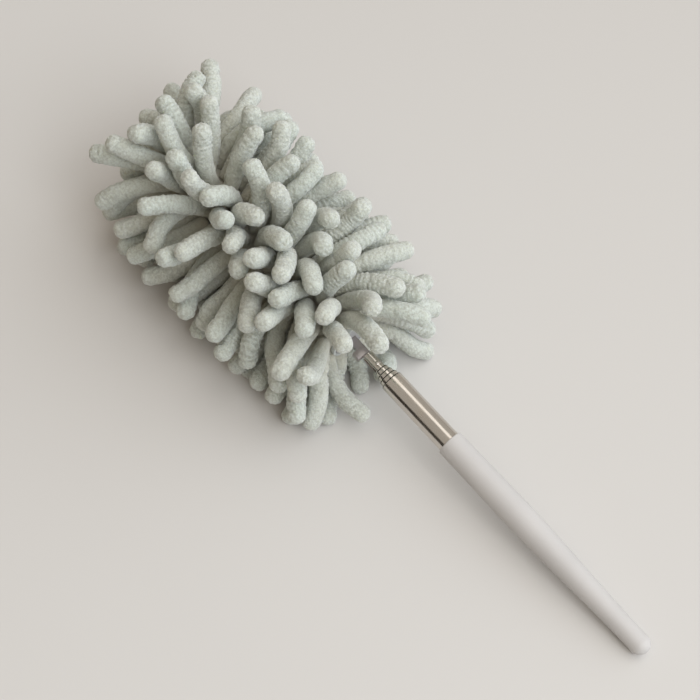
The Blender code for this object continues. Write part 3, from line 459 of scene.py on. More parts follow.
def knit_material(name, colour):
    """Knitted cloth or elastic: small ribs round the pole."""
    n = Material(name)
    ribs = n.add("ShaderNodeTexWave", wave_type="BANDS", bands_direction="X", Scale=0.5 / KNIT_RIB,
                 Distortion=1.5, Detail=2.0)
    n.join(n.place(ALONG_POLE), ribs.inputs["Vector"])
    fibres = n.noise(n.place(), KNIT_PILE_SIZE, 2.0)
    n.join(n.mix(fibres, darker(colour, 0.8), colour), n.shader.inputs["Base Color"])
    fine = n.bump(fibres, KNIT_PILE_DEPTH, 0.5)
    n.bump(ribs.outputs["Fac"], KNIT_RIB_DEPTH, 0.6, fine)
    n.set(Roughness=0.95, Sheen_Weight=0.2)
    return n.made


# One finish for each slot of the record, and two that only the scene has: the painted shade at the tubes'
# rolled-in mouths, and the backing
MATERIALS = {
    "tube_steel": steel("drawn_steel", STEEL, 0.12, 0.3),
    "rivet_steel": steel("rivet_steel", STEEL, 0.2, 0.4, 2.0),
    # painted shade: near-black steel for the last of each rolled-in mouth
    "mouth_painted_shade": steel("mouth_painted_shade", MOUTH_PAINTED_SHADE, 0.45, 0.6, 2.0),
    "hinge_steel": steel("hinge_steel", HINGE, 0.3, 0.5, 3.0),
    "bush_metal": steel("bush_bronze", BRONZE, 0.25, 0.4, 1.0),
    "grip": moulded("grip_plastic", WHITE, 0.5, GRIP_GRAIN, GRIP_GRAIN_DEPTH),
    "plug": moulded("plug_plastic", GREY, 0.55, GRIP_GRAIN, GRIP_GRAIN_DEPTH),
    "core": moulded("core_plastic", GREY, 0.55, CORE_GRAIN, CORE_GRAIN_DEPTH),
    "elastic": knit_material("elastic_band", ELASTIC),
    "chenille": chenille_material(),
    "backing": knit_material("backing_knit", SAGE_ROOT),
}
BODY_OF = {node: body for body, nodes in frame["record"]["behaviour"]["bodies"].items() for node in nodes}
SLOT_OF = {part["node"]: part["material_slot"] for part in frame["record"]["subparts"]}


def add_object(name, data):
    made = bpy.data.objects.new(name, data)
    bpy.context.scene.collection.objects.link(made)
    return made


def new_piece(name, mesh, node):
    """Shows a mesh in place of a CAD node, on the same body and with the same finish."""
    piece = add_object(name, mesh)
    mesh.materials.append(MATERIALS[SLOT_OF[node]])
    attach(piece, BODY_OF[node])
    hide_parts(node)


def to_mesh(bm, name):
    mesh = bpy.data.meshes.new(name)
    bm.to_mesh(mesh)
    bm.free()
    return mesh


def applied(shown):
    """An object's mesh with its modifiers applied. The object itself goes."""
    bpy.context.view_layer.update()
    made = bpy.data.meshes.new_from_object(shown.evaluated_get(bpy.context.evaluated_depsgraph_get()))
    bpy.data.objects.remove(shown, do_unlink=True)
    return made


def smooth(mesh):
    mesh.shade_smooth()
    mesh.set_sharp_from_angle(angle=SMOOTH_ANGLE)


def arc(centre, radius, first, last, count):
    """Points of an arc in the (radius, height) plane, angles in degrees from +radius."""
    points = []
    for k in range(count + 1):
        angle = math.radians(first + (last - first) * k / count)
        points.append((centre[0] + radius * math.cos(angle), centre[1] + radius * math.sin(angle)))
    return points


def turned(name, points, sides, closed=True, place=POLE_PLACE):
    """A profile of (radius, height) points turned about local Z and put in place."""
    bm = bmesh.new()
    verts = [bm.verts.new((r, 0.0, z)) for r, z in points]
    pairs = list(zip(verts, verts[1:])) + ([(verts[-1], verts[0])] if closed else [])
    edges = [bm.edges.new(pair) for pair in pairs]
    bmesh.ops.spin(
        bm, geom=verts + edges, cent=(0, 0, 0), axis=(0, 0, 1), angle=2 * math.pi, steps=sides,
        use_merge=True, use_duplicate=False,
    )
    bmesh.ops.remove_doubles(bm, verts=bm.verts, dist=MERGE_DISTANCE)
    bmesh.ops.recalc_face_normals(bm, faces=bm.faces)
    bm.transform(place)
    mesh = to_mesh(bm, name)
    smooth(mesh)
    return mesh


def share_value(table, at):
    """Reads a table of shares by straight lines between its rows."""
    for (a, first), (b, last) in zip(table, table[1:]):
        if at <= b:
            return first + (last - first) * max(0.0, at - a) / (b - a)
    return table[-1][1]


# Rigid pieces


def grip():
    """The moulded grip: a rounded mouth, a long even taper and a round tail."""
    points = arc((GRIP_MOUTH_RADIUS - GRIP_LIP, GRIP_LENGTH - GRIP_LIP), GRIP_LIP, 90, 0, GRIP_LIP_STEPS)
    taper = GRIP_WAIST_RADIUS - GRIP_TAIL_RADIUS
    for k in range(GRIP_TAPER_STEPS):
        share = 1 - k / GRIP_TAPER_STEPS
        left = 0.5 - 0.5 * math.cos(math.pi * share)
        points.append((GRIP_TAIL_RADIUS + taper * left, GRIP_LENGTH * GRIP_TAPER_END_SHARE * share))
    points += arc((0.0, 0.0), GRIP_TAIL_RADIUS, 0, -90, GRIP_TAIL_STEPS)
    points[-1] = (0.0, -GRIP_TAIL_RADIUS)
    bore = [(0.0, GRIP_LENGTH - GRIP_BORE_DEPTH), (GRIP_BORE_RADIUS, GRIP_LENGTH - GRIP_BORE_DEPTH),
            (GRIP_BORE_RADIUS, GRIP_LENGTH - MOUTH_ROUND), (GRIP_BORE_RADIUS + MOUTH_ROUND, GRIP_LENGTH)]
    mesh = turned("grip", bore + points, GRIP_SIDES, closed=False)
    new_piece("grip_moulding", mesh, "handle_grip")


def tube_profile(number):
    """Closed wall of one tube, with a rolled-in mouth, or a plain rounded one on the thinnest."""
    outer = TUBE_RADII[number]
    inner = outer - TUBE_WALL
    mouth = TUBE_MOUTHS[number]
    foot = INNER_FOOT if number else OUTER_FOOT
    if number == TUBE_COUNT - 1:
        return [(inner, mouth), (outer - MOUTH_ROUND, mouth), (outer, mouth - MOUTH_ROUND), (outer, foot),
                (inner, foot)]
    neck = TUBE_RADII[number + 1] + NECK_CLEARANCE
    start = mouth - NECK_LENGTH
    edge = neck + ROLL_EDGE
    points = [(neck, mouth)]
    for k in range(ROLL_STEPS + 1):
        turned_in = math.pi / 2 * k / ROLL_STEPS
        radius = edge + (outer - edge) * math.sin(turned_in)
        points.append((radius, mouth - ROLL_LENGTH * (1 - math.cos(turned_in))))
    points += [(outer, foot), (inner, foot), (inner, start - TUBE_WALL), (neck, start + TUBE_WALL)]
    return points


def cut_away(mesh, shape):
    """The mesh with another mesh's shape taken out."""
    body = add_object("cut_body", mesh)
    cutter = add_object("cutter", shape)
    boolean = body.modifiers.new("Cut", "BOOLEAN")
    boolean.operation = "DIFFERENCE"
    boolean.solver = "EXACT"
    boolean.object = cutter
    made = applied(body)
    bpy.data.objects.remove(cutter, do_unlink=True)
    smooth(made)
    return made


def slotted(mesh):
    """The thinnest tube with the slot in its mouth that the blade sits in."""
    low = PIVOT - SLOT_BELOW_PIVOT
    high = TUBE_MOUTHS[-1] + CUT_OVERRUN
    bm = bmesh.new()
    bmesh.ops.create_cube(bm, size=1.0)
    bmesh.ops.scale(bm, vec=(SLOT_WIDTH, 2 * TUBE_RADII[-1] + 2 * CUT_OVERRUN, high - low), verts=bm.verts)
    bmesh.ops.translate(bm, vec=(0.0, 0.0, (high + low) / 2), verts=bm.verts)
    bm.transform(POLE_PLACE)
    return cut_away(mesh, to_mesh(bm, "slot"))


def paint_mouth_shade(mesh, above):
    """The last of a tube's rolled-in mouth is painted near-black: painted shade for the dark gap."""
    mesh.materials.append(MATERIALS["mouth_painted_shade"])
    to_pole = POLE_PLACE.inverted()
    for face in mesh.polygons:
        if (to_pole @ face.center).z > above:
            face.material_index = 1


def tubes():
    for k in range(TUBE_COUNT):
        thinnest = k == TUBE_COUNT - 1
        mesh = turned("tube_%d_wall" % (k + 1), tube_profile(k), TUBE_SIDES)
        if thinnest:
            mesh = slotted(mesh)
        new_piece("steel_tube_%d" % (k + 1), mesh, "tube_%d" % (k + 1))
        if not thinnest:
            # painted shade along each rolled-in mouth
            paint_mouth_shade(mesh, TUBE_MOUTHS[k] - MOUTH_LINE)


def rivet():
    """The rivet's shank with a domed head at each end."""
    seat = TUBE_RADII[-1] + RIVET_HEAD_GAP
    points = []
    for k in range(RIVET_DOME_STEPS + 1):
        angle = math.pi / 2 * k / RIVET_DOME_STEPS
        points.append((RIVET_HEAD_RADIUS * math.sin(angle), seat + RIVET_HEAD_HEIGHT * math.cos(angle)))
    points.append((RIVET_RADIUS, seat))
    points += [(r, -z) for r, z in reversed(points)]
    place = POLE_PLACE @ Matrix.Translation((0.0, 0.0, PIVOT)) @ Matrix.Rotation(math.pi / 2, 4, "Y")
    mesh = turned("rivet", points, RIVET_SIDES, closed=False, place=place)
    new_piece("rivet_turned", mesh, "hinge_rivet")


def dress(node, name):
    """A CAD node's own shape with welded corners, softly rounded edges and smooth shading."""
    mesh = frame["nodes"][node].data.copy()
    mesh.materials.clear()
    bm = bmesh.new()
    bm.from_mesh(mesh)
    bmesh.ops.remove_doubles(bm, verts=bm.verts, dist=MERGE_DISTANCE)
    flat = math.radians(1.0)
    bmesh.ops.dissolve_limit(bm, angle_limit=flat, verts=bm.verts, edges=bm.edges)
    sharp = [e for e in bm.edges if len(e.link_faces) == 2 and e.calc_face_angle(0.0) > SMOOTH_ANGLE]
    bmesh.ops.bevel(
        bm, geom=sharp, offset=EDGE_ROUND, segments=2, affect="EDGES", clamp_overlap=True, profile=0.5
    )
    bm.to_mesh(mesh)
    bm.free()
    smooth(mesh)
    new_piece(name, mesh, node)


# Fingers of the sleeve


class Finger:
    """One soft finger: its root on the backing, its two root axes and its middle line."""

    def __init__(self, node, root, out, across, along, length, curl):
        self.node = node
        self.root = root
        self.out = out
        self.across = across
        self.along = along
        self.length = length - FINGER_RADIUS  # of its middle line, which stops short of the round tip
        self.curl = curl
        self.lift = NECK_LIFT if node == NECK_NODE else 0.0


def side_lean(angle, share):
    """Sideways lean: the fingers droop to both sides, and near the parting they fall back over the top."""
    from_top = (angle + math.pi) % (2 * math.pi) - math.pi
    parting = math.radians(share_value(PARTING_SHARES, share))
    over = math.exp(-(((from_top - parting) / PARTING_SPREAD) ** 2))
    return SIDE_DROOP * math.sin(from_top) - PARTING_LEAN * over


def random_curl(rng, across, along):
    """Which way a finger curls, as long as the angle that it bends through."""
    way = rng.uniform(0.0, 2 * math.pi)
    return (across * math.cos(way) + along * math.sin(way)) * rng.uniform(CURL_LEAST, CURL_MOST)


def ways_round(angle):
    """Outwards and sideways at an angle round the pole from its upper side, on the pole's local axes."""
    radial = Vector((-math.cos(angle), math.sin(angle), 0.0))
    across = Vector((math.sin(angle), math.cos(angle), 0.0))
    return radial, across


def ring_fingers(rng):
    """The fingers of the sleeve's rows, staggered from row to row."""
    fingers = []
    along = Vector((0.0, 0.0, 1.0))
    nodes = [name for name, rows in SLICES for _ in range(rows)]
    for row, node in enumerate(nodes):
        z = SLEEVE_MOUTH + (row + 0.5) * ROW_PITCH
        share = (z - SLEEVE_MOUTH) / (SLEEVE_END - SLEEVE_MOUTH)
        for column in range(row % 2, COLUMNS, 2):
            angle = (column + 0.5) * 2 * math.pi / COLUMNS
            radial, across = ways_round(angle)
            lean = math.radians(share_value(LEAN_SHARES, share)) + LEAN_JITTER * rng.uniform(-1, 1)
            side = side_lean(angle, share) + SIDE_JITTER * rng.uniform(-1, 1)
            facing = math.exp(-(((angle - WINDOW_ANGLE) / WINDOW_SPREAD) ** 2))
            lean *= 1 - facing * share_value(WINDOW_SHARES, share)
            out = radial * math.cos(lean) + along * math.sin(lean) + across * math.tan(side)
            length = FINGER_LENGTH + rng.uniform(-1, 1) * LENGTH_JITTER
            root = radial * BACKING_RADIUS + along * z
            curl = random_curl(rng, across, along)
            fingers.append(Finger(node, root, out.normalized(), across, along, length, curl))
    return fingers


def end_fingers(rng):
    """The fingers of the sleeve's closed end: one on the axis, four at the corners, four at the sides."""
    fingers = [end_finger(rng, 0.0, 0.0)]
    for k in range(4):
        side = k * math.pi / 2
        fingers.append(end_finger(rng, side + math.pi / 4, END_CORNER_TILT))
        fingers.append(end_finger(rng, side, END_SIDE_TILT))
    return fingers


def end_finger(rng, angle, tilt):
    """One finger of the closed end. It gets its root later, from the face that suits it best."""
    radial, across = ways_round(angle)
    tilt += END_JITTER * rng.uniform(-1, 1)
    out = (Vector((0.0, 0.0, math.cos(tilt))) + radial * math.sin(tilt)).normalized()
    length = END_FINGER_LENGTH + rng.uniform(-1, 1) * LENGTH_JITTER
    along = out.cross(across)
    return Finger(END_NODE, None, out, across, along, length, random_curl(rng, across, along))


def pole_radius(z):
    """Radius of what the fingers have to clear along the pole, for places below the blade's shoulder."""
    first, last = TUBE_MOUTHS[0], TUBE_MOUTHS[-2]
    share = np.clip((z - first) / (last - first), 0.0, 1.0)
    return TUBE_RADII[0] + (TUBE_RADII[-1] - TUBE_RADII[0]) * share


def first_chains(fingers, root, out, length, down):
    """The middle lines before they settle: each finger curls evenly one way and droops."""
    share = np.linspace(0.0, 1.0, FINGER_NODES)
    level_part = np.sqrt(1 - (out @ down) ** 2)
    curl = np.array([f.curl for f in fingers])
    bent = np.linalg.norm(curl, axis=1)[:, None]
    ahead = np.sin(bent * share) / bent
    aside = (1 - np.cos(bent * share)) / bent
    chain = ahead[..., None] * out[:, None] + aside[..., None] * (curl / bent)[:, None]
    chain = root[:, None] + chain * length[:, None, None]
    return chain + (FINGER_DROOP * level_part[:, None] * share**2)[..., None] * down


def pushes(points, pairs, radius):
    """How points of unlike fingers that are too near push each other away."""
    first, second = pairs
    gap = points[first] - points[second]
    far = np.linalg.norm(gap, axis=1)
    want = radius[first % len(radius)] + radius[second % len(radius)]
    push = np.clip(want - far, 0.0, None) * PUSH_SHARE
    shove = gap / np.maximum(far, TINY)[:, None] * push[:, None]
    moves = np.zeros_like(points)
    np.add.at(moves, first, shove)
    np.add.at(moves, second, -shove)
    touching = push > 0
    crowd = np.bincount(first[touching], minlength=len(points))
    crowd += np.bincount(second[touching], minlength=len(points))
    return moves / np.maximum(crowd * CROWD_SHARE, 1.0)[:, None]


def clear_the_inside(chain, girth):
    """Moves the chains outwards, past their roots, until they clear the backing and the pole."""
    reach = np.linalg.norm(chain[..., :2], axis=2)
    inside = chain[..., 2] > PIVOT + BLOCK_START
    over_backing = BACKING_RADIUS + girth * BACKING_SHARE
    over_pole = pole_radius(chain[..., 2]) + girth + POLE_CLEARANCE
    keep = np.where(inside, over_backing, over_pole)
    past_end = chain[..., 2] > SLEEVE_END
    spread = np.where(past_end, 1.0, np.maximum(keep / np.maximum(reach, TINY), 1.0))
    chain[:, 1:, :2] *= spread[:, 1:, None]


def settle(fingers):
    """Bends the fingers as chains until they clear each other, the table, the backing and the pole."""
    root = np.array([f.root for f in fingers])
    out = np.array([f.out for f in fingers])
    length = np.array([f.length for f in fingers])
    lowest = np.array([FINGER_FLOOR + f.lift for f in fingers])[:, None]
    down = POLE_TURN.T @ np.array([0.0, 0.0, -1.0])
    chain = first_chains(fingers, root, out, length, down)
    bow = chain[:, :-2] - 2 * chain[:, 1:-1] + chain[:, 2:]
    step = length / (FINGER_NODES - 1)
    shares = np.linspace(0.0, 1.0, FINGER_NODES)
    girth = FINGER_RADIUS * ELBOW_SHARE * np.array([share_value(SIDE_SHARES, s) for s in shares])
    girth[-1] = girth[-2]
    # Each chain is tested at its points and at the middles between them
    radius = np.concatenate([girth, (girth[1:] + girth[:-1]) / 2])
    owner = np.repeat(np.arange(len(fingers)), len(radius))
    pairs = None
    for turn_number in range(SETTLE_STEPS):
        points = np.concatenate([chain, (chain[:, 1:] + chain[:, :-1]) / 2], axis=1).reshape(-1, 3)
        if turn_number % STEPS_A_SEARCH == 0:
            pairs = near_pairs(points, owner, 3 * FINGER_RADIUS)
        moves = pushes(points, pairs, radius).reshape(len(fingers), len(radius), 3)
        chain += moves[:, :FINGER_NODES]
        chain[:, 1:] += moves[:, FINGER_NODES:] / 2
        chain[:, :-1] += moves[:, FINGER_NODES:] / 2
        stiff = 1 - turn_number / SETTLE_STEPS
        chain[:, 2:] += stiff * BEND_SHARE * (2 * chain[:, 1:-1] - chain[:, :-2] - chain[:, 2:] + bow)
        chain[:, 1] += stiff * ROOT_SHARE * (root + step[:, None] * out - chain[:, 1])
        clear_the_inside(chain, girth)
        world_chain = chain @ POLE_TURN.T + POLE_SHIFT
        world_chain[..., 2] = np.maximum(world_chain[..., 2], lowest)
        chain = (world_chain - POLE_SHIFT) @ POLE_TURN
        chain[:, 0] = root
        for k in range(1, FINGER_NODES):
            part = chain[:, k] - chain[:, k - 1]
            chain[:, k] = chain[:, k - 1] + part / np.linalg.norm(part, axis=1)[:, None] * step[:, None]
    for finger, line in zip(fingers, chain):
        finger.line = [Vector(p) for p in line]
    return fingers


def near_pairs(points, owner, reach):
    """Pairs of points of unlike fingers that are nearer than reach."""
    firsts, seconds = [], []
    for start in range(0, len(points), POINTS_A_BLOCK):
        block = points[start:start + POINTS_A_BLOCK]
        far = np.linalg.norm(block[:, None] - points[None], axis=2)
        a, b = np.nonzero(far < reach)
        a += start
        keep = (a < b) & (owner[a] != owner[b])
        firsts.append(a[keep])
        seconds.append(b[keep])
    return np.concatenate(firsts), np.concatenate(seconds)


def end_block():
    """The rounded pad that closes the sleeve: a cube of three by three quads a side, drawn to a dome."""
    bm = bmesh.new()
    bmesh.ops.create_cube(bm, size=2.0)
    bmesh.ops.subdivide_edges(bm, edges=bm.edges, cuts=END_CUTS, use_grid_fill=True)
    for vert in bm.verts:
        x, y, z = vert.co
        round_x = x * math.sqrt(1 - y * y / 2)
        round_y = y * math.sqrt(1 - x * x / 2)
        height = (z + 1) / 2
        across = BACKING_RADIUS * (1 - END_DRAW_SHARE * height**2)
        fall = END_FALL_SHARE * (round_x**2 + round_y**2) * height**2
        vert.co = (round_x * across, round_y * across, SLEEVE_END + END_THICKNESS * (height - fall))
    bmesh.ops.recalc_face_normals(bm, faces=bm.faces)
    return bm


def end_roots(bm, fingers):
    """For each end finger, the free face whose place best matches the finger's direction."""
    taken, faces = set(), []
    middle = Vector((0.0, 0.0, SLEEVE_END))
    for finger in fingers:
        best, score = None, -2.0
        for face in bm.faces:
            if face in taken or face.normal.z < -END_UNDER_SHARE:
                continue
            way = (face.calc_center_median() - middle).normalized()
            if way.dot(finger.out) > score:
                best, score = face, way.dot(finger.out)
        taken.add(best)
        faces.append(best)
    return faces


def all_fingers():
    """Every finger of the sleeve, settled among the others."""
    rng = random.Random(SEED)
    rings = ring_fingers(rng)
    ends = end_fingers(rng)
    bm = end_block()
    for finger, face in zip(ends, end_roots(bm, ends)):
        finger.root = face.calc_center_median()
    bm.free()
    return settle(rings + ends)


def point_on(line, share):
    """A point and a tangent on a smooth curve through the line's points."""
    last = len(line) - 1
    at = min(max(share, 0.0), 1.0) * last
    k = min(int(at), last - 1)
    t = at - k
    p1, p2 = line[k], line[k + 1]
    m1 = (line[k + 1] - line[max(k - 1, 0)]) / (2 if k else 1)
    m2 = (line[min(k + 2, last)] - line[k]) / (2 if k + 2 <= last else 1)
    h00, h10 = 2 * t**3 - 3 * t**2 + 1, t**3 - 2 * t**2 + t
    h01, h11 = -2 * t**3 + 3 * t**2, t**3 - t**2
    point = p1 * h00 + m1 * h10 + p2 * h01 + m2 * h11
    d00, d10 = 6 * t**2 - 6 * t, 3 * t**2 - 4 * t + 1
    d01, d11 = -6 * t**2 + 6 * t, 3 * t**2 - 2 * t
    return point, (p1 * d00 + m1 * d10 + p2 * d01 + m2 * d11).normalized()


def hashed(cells, salt):
    """A number from 0 to 1 for each whole-number cell, by scrambling its bits."""
    scaled = cells.astype(np.uint64) * np.array(CELL_FACTORS, dtype=np.uint64)
    mixed = scaled[..., 0] ^ scaled[..., 1] ^ (scaled[..., 2] + np.uint64(salt * SALT_FACTOR))
    mixed = (mixed ^ (mixed >> np.uint64(13))) * np.uint64(SCRAMBLE_FACTOR)
    mixed ^= mixed >> np.uint64(16)
    return (mixed & np.uint64(0xFFFF)).astype(float) / 0xFFFF


def bumps(points, size, salt):
    """Smooth noise from -1 to 1 with one cell each size, at an array of points."""
    scaled = points / size + CELL_OFFSET
    cell = np.floor(scaled)
    t = scaled - cell
    t = t * t * (3 - 2 * t)
    total = np.zeros(points.shape[:-1])
    for corner in np.ndindex(2, 2, 2):
        corner = np.array(corner)
        weight = np.prod(np.where(corner, t, 1 - t), axis=-1)
        total += weight * hashed(cell + corner, salt)
    return total * 2 - 1


def tufts(points, size, salt):
    """From 0 in the creases to 1 on the tops of rounded tufts, one in each cell of the given size."""
    scaled = points / size + CELL_OFFSET
    cell = np.floor(scaled)
    nearest = np.full(points.shape[:-1], np.inf)
    for corner in np.ndindex(3, 3, 3):
        other = cell + np.array(corner) - 1
        middle = other + np.stack([hashed(other, salt + k) for k in range(3)], axis=-1)
        nearest = np.minimum(nearest, ((scaled - middle) ** 2).sum(axis=-1))
    return 1 - np.minimum(nearest * TUFT_SHARPNESS, 1.0)


def groove_depths(grooves, share, length):
    """How deep the grooves go into a finger at one place along it, for each of its sides."""
    dent = np.zeros((FINGER_SIDES, 1))
    for at, deep, phase in grooves:
        near = math.exp(-(((share - at) * length / GROOVE_WIDTH) ** 2))
        round_it = GROOVE_EVEN_SHARE + (1 - GROOVE_EVEN_SHARE) * np.cos(TURN_ANGLES - phase)
        dent += GROOVE_DEPTH * deep * near * round_it[:, None]
    return dent


def finger_rings(finger, girth, grooves):
    """Points in rings along one finger and round its tip, with their normals and their places along it."""
    across, along = finger.across, finger.along
    tangent = across.cross(along).normalized()
    if tangent.dot(finger.out) < 0:
        tangent = -tangent
    cosines, sines = np.cos(TURN_ANGLES)[:, None], np.sin(TURN_ANGLES)[:, None]
    rings, normals, shares = [], [], []
    places = [((k / (FINGER_RINGS - 1)) ** RING_SPREAD, None) for k in range(FINGER_RINGS)]
    places += [(1.0, math.pi / 2 * (k + 1) / (TIP_RINGS + 1)) for k in range(TIP_RINGS)]
    for share, cap in places:
        point, direction = point_on(finger.line, share)
        swing = tangent.rotation_difference(direction)
        across, along, tangent = swing @ across, swing @ along, direction
        radius = FINGER_RADIUS * girth * share_value(ROUND_SHARES, share)
        side = np.array(across) * cosines + np.array(along) * sines
        if cap is None:
            ring = np.array(point) + side * radius - side * groove_depths(grooves, share, finger.length)
            normal = side
        else:
            around = radius * math.cos(cap) ** (2 / TIP_SQUARENESS)
            height = math.sin(cap) ** (2 / TIP_SQUARENESS)
            ring = np.array(point + direction * radius * height) + side * around
            normal = side * math.cos(cap) + np.array(direction) * math.sin(cap)
        rings.append(ring)
        normals.append(normal)
        shares.append(share)
    tip_direction = np.array(tangent)
    tip = np.array(point) + tip_direction * radius
    points = np.concatenate(rings + [tip[None]])
    normals = np.concatenate(normals + [tip_direction[None]])
    return points, normals, np.append(np.repeat(shares, FINGER_SIDES), 1.0)


def pile_over(points, shares, length, rng):
    """The pile's height over the points of one finger, of lumps, ribs and tufts, and its creases, which get
    painted shade.
    """
    own = points + np.array([rng.uniform(0, 1) for _ in range(3)]) * FINGER_LENGTH
    fluff = np.clip(0.5 + bumps(own, PATCH_SIZE, FLUFF_SALT), 0.0, 1.0)
    ribbed = np.clip(rng.uniform(*RIB_LEVELS) + bumps(own, PATCH_SIZE, RIB_SALT) / 2, 0.0, 1.0)
    waver = RIB_WAVER * bumps(own, LUMP_SIZE, WAVER_SALT)
    twist = rng.choice((-1, 1)) * np.append(np.tile(TURN_ANGLES, FINGER_RINGS + TIP_RINGS), 0.0)
    ribs = 0.5 * np.cos(2 * math.pi * (shares * length / RIB_PITCH + waver) + twist)
    height = LUMP_HEIGHT * bumps(own, LUMP_SIZE, LUMP_SALT) + RIB_HEIGHT * ribs * ribbed * (shares < 1)
    tops = tufts(own, TUFT_SIZE, TUFT_SALT)
    rough = TUFT_LEAST_SHARE + (1 - TUFT_LEAST_SHARE) * fluff
    height += TUFT_HEIGHT * (tops - 0.5) * rough
    grown = np.clip(shares / PILE_GROWS_SHARE, PILE_ROOT_SHARE, 1.0)
    creases = np.clip((1 - tops) * rough - ribs * ribbed, 0.0, 1.0)
    return height * grown, creases


def finger_surface(finger, rng):
    """The points of one finger with its grooves and pile, their places along it and their creases, which
    get painted shade.
    """
    grooves = [
        (rng.uniform(*GROOVE_PLACE_SHARES), rng.uniform(0.0, 1.0) ** 2, rng.uniform(0.0, 2 * math.pi))
        for _ in range(GROOVES)
    ]
    girth = rng.uniform(*GIRTH_SHARES)
    points, normals, shares = finger_rings(finger, girth, grooves)
    height, creases = pile_over(points, shares, finger.length, rng)
    return points + normals * height[:, None], shares, creases


def finger_faces(start):
    """Quads between the rings and a fan at the tip. The root's end is open, inside the backing."""
    rings = FINGER_RINGS + TIP_RINGS
    faces = []
    for ring in range(rings - 1):
        for side in range(FINGER_SIDES):
            a = start + ring * FINGER_SIDES + side
            b = start + ring * FINGER_SIDES + (side + 1) % FINGER_SIDES
            faces.append((a, b, b + FINGER_SIDES, a + FINGER_SIDES))
    tip = start + rings * FINGER_SIDES
    last = tip - FINGER_SIDES
    for side in range(FINGER_SIDES):
        faces.append((last + side, last + (side + 1) % FINGER_SIDES, tip))
    faces.append(tuple(start + side for side in reversed(range(FINGER_SIDES))))
    return faces


def backing(first_row, rows):
    """The cloth ring under some rows of fingers, on the pole's local axes."""
    low = SLEEVE_MOUTH + first_row * ROW_PITCH
    high = low + rows * ROW_PITCH - SLICE_GAP
    inner = BACKING_RADIUS - BACKING_THICKNESS
    points = [(inner, low), (BACKING_RADIUS, low), (BACKING_RADIUS, high), (inner, high)]
    return turned("backing", points, TUBE_SIDES // 2, place=Matrix.Identity(4))


def end_pad():
    """The sleeve's rounded closed end, on the pole's local axes."""
    pad = add_object("end_pad", to_mesh(end_block(), "end_pad"))
    pad.modifiers.new("Round", "SUBSURF").levels = 2
    return applied(pad)


def chenille_mesh(name, fingers, base, lowest, rng):
    """A slice of backing and its fingers as one mesh, in place, with nothing below the lowest height."""
    verts = [np.array([v.co for v in base.vertices])]
    faces = [tuple(p.vertices) for p in base.polygons]
    finishes = [1] * len(faces)
    shares, tones, creases = ([np.zeros(len(verts[0]))] for _ in range(3))
    start = len(verts[0])
    for finger in fingers:
        points, along, crease = finger_surface(finger, rng)
        made = finger_faces(start)
        faces += made
        finishes += [0] * len(made)
        verts.append(points)
        shares.append(along)
        creases.append(crease)
        tones.append(np.full(len(points), rng.uniform(0.0, 1.0)))
        start += len(points)
    points = np.concatenate(verts) @ POLE_TURN.T + POLE_SHIFT
    points[:, 2] = np.maximum(points[:, 2], lowest)
    mesh = bpy.data.meshes.new(name)
    mesh.from_pydata(points.tolist(), [], faces)
    for key, values in (("along", shares), ("tone", tones), ("crease", creases)):
        mesh.attributes.new(key, "FLOAT", "POINT").data.foreach_set("value", np.concatenate(values))
    mesh.materials.append(MATERIALS["chenille"])
    mesh.materials.append(MATERIALS["backing"])
    mesh.polygons.foreach_set("material_index", finishes)
    mesh.shade_smooth()
    return mesh


def chenille_piece(name, node, fingers, base, rng):
    """One slice of the sleeve in place of its CAD node, on that node's body; the neck's slice is put on no
    body.
    """
    lowest = (NECK_LIFT if node == NECK_NODE else 0.0) + TABLE_LIFT
    piece = add_object(name, chenille_mesh(name, fingers, base, lowest, rng))
    if node == NECK_NODE:
        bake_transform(piece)
    else:
        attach(piece, BODY_OF[node])
    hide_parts(node)


def sleeve():
    fingers = all_fingers()
    rng = random.Random(SEED + 1)
    row = 0
    for node, rows in SLICES:
        mine = [f for f in fingers if f.node == node]
        chenille_piece("chenille_" + node.split("_")[1], node, mine, backing(row, rows), rng)
        row += rows
    ends = [f for f in fingers if f.node == END_NODE]
    chenille_piece("chenille_end", END_NODE, ends, end_pad(), rng)


# Stage, light and camera

FLOOR = (0.64, 0.622, 0.60)
FLOOR_SIZE = 6.0
# The soft dome: a part from overhead, a part from the right, and what metal and the camera see instead
DOME_TOP = (0.47, 0.37, 0.27)
DOME_TOP_POWER = 2.0
DOME_TOP_WAY = (0.0, 0.0, 1.0)
DOME_SIDE = (1.6, 1.74, 1.89)
DOME_SIDE_POWER = 3.0
DOME_SIDE_WAY = (0.8, 0.0, 0.6)
DOME_EVEN = (0.135, 0.125, 0.105)
DOME_IN_METAL = (0.485, 0.455, 0.41)
BACKDROP = (0.60, 0.585, 0.565)
CARD_DISTANCE = 110.0 * MM
CARD_LENGTH = 700.0 * MM
CARD_HEIGHT = 62.0 * MM
CARD_COLOUR = (0.05, 0.042, 0.035)
# Lamps, placed to the right, away and up as the camera sees the table, and the point that they light
LIT_POINT = (0.0, 0.0, 0.02)
KEY_PLACE = (0.36, 0.39, 1.6)
KEY_SIZE = 0.72
KEY_POWER = 1.55
KEY_COLOUR = (1.0, 0.97, 0.93)
FILL_PLACE = (0.45, -0.65, 0.92)
FILL_SIZE = 0.6
FILL_POWER = 5.0
FILL_COLOUR = (0.96, 1.0, 1.04)


def plane(name, width, height, colour, **finish):
    """A painted rectangle, such as the floor or the dark card."""
    bm = bmesh.new()
    bmesh.ops.create_grid(bm, x_segments=1, y_segments=1, size=0.5)
    bmesh.ops.scale(bm, vec=(width, height, 1.0), verts=bm.verts)
    made = add_object(name, to_mesh(bm, name))
    n = Material(name + "_paint")
    n.set(Base_Color=(*colour, 1.0), **finish)
    made.data.materials.append(n.made)
    return made


def floor():
    plane("floor", FLOOR_SIZE, FLOOR_SIZE, FLOOR, Roughness=0.6, Specular_IOR_Level=0.3)


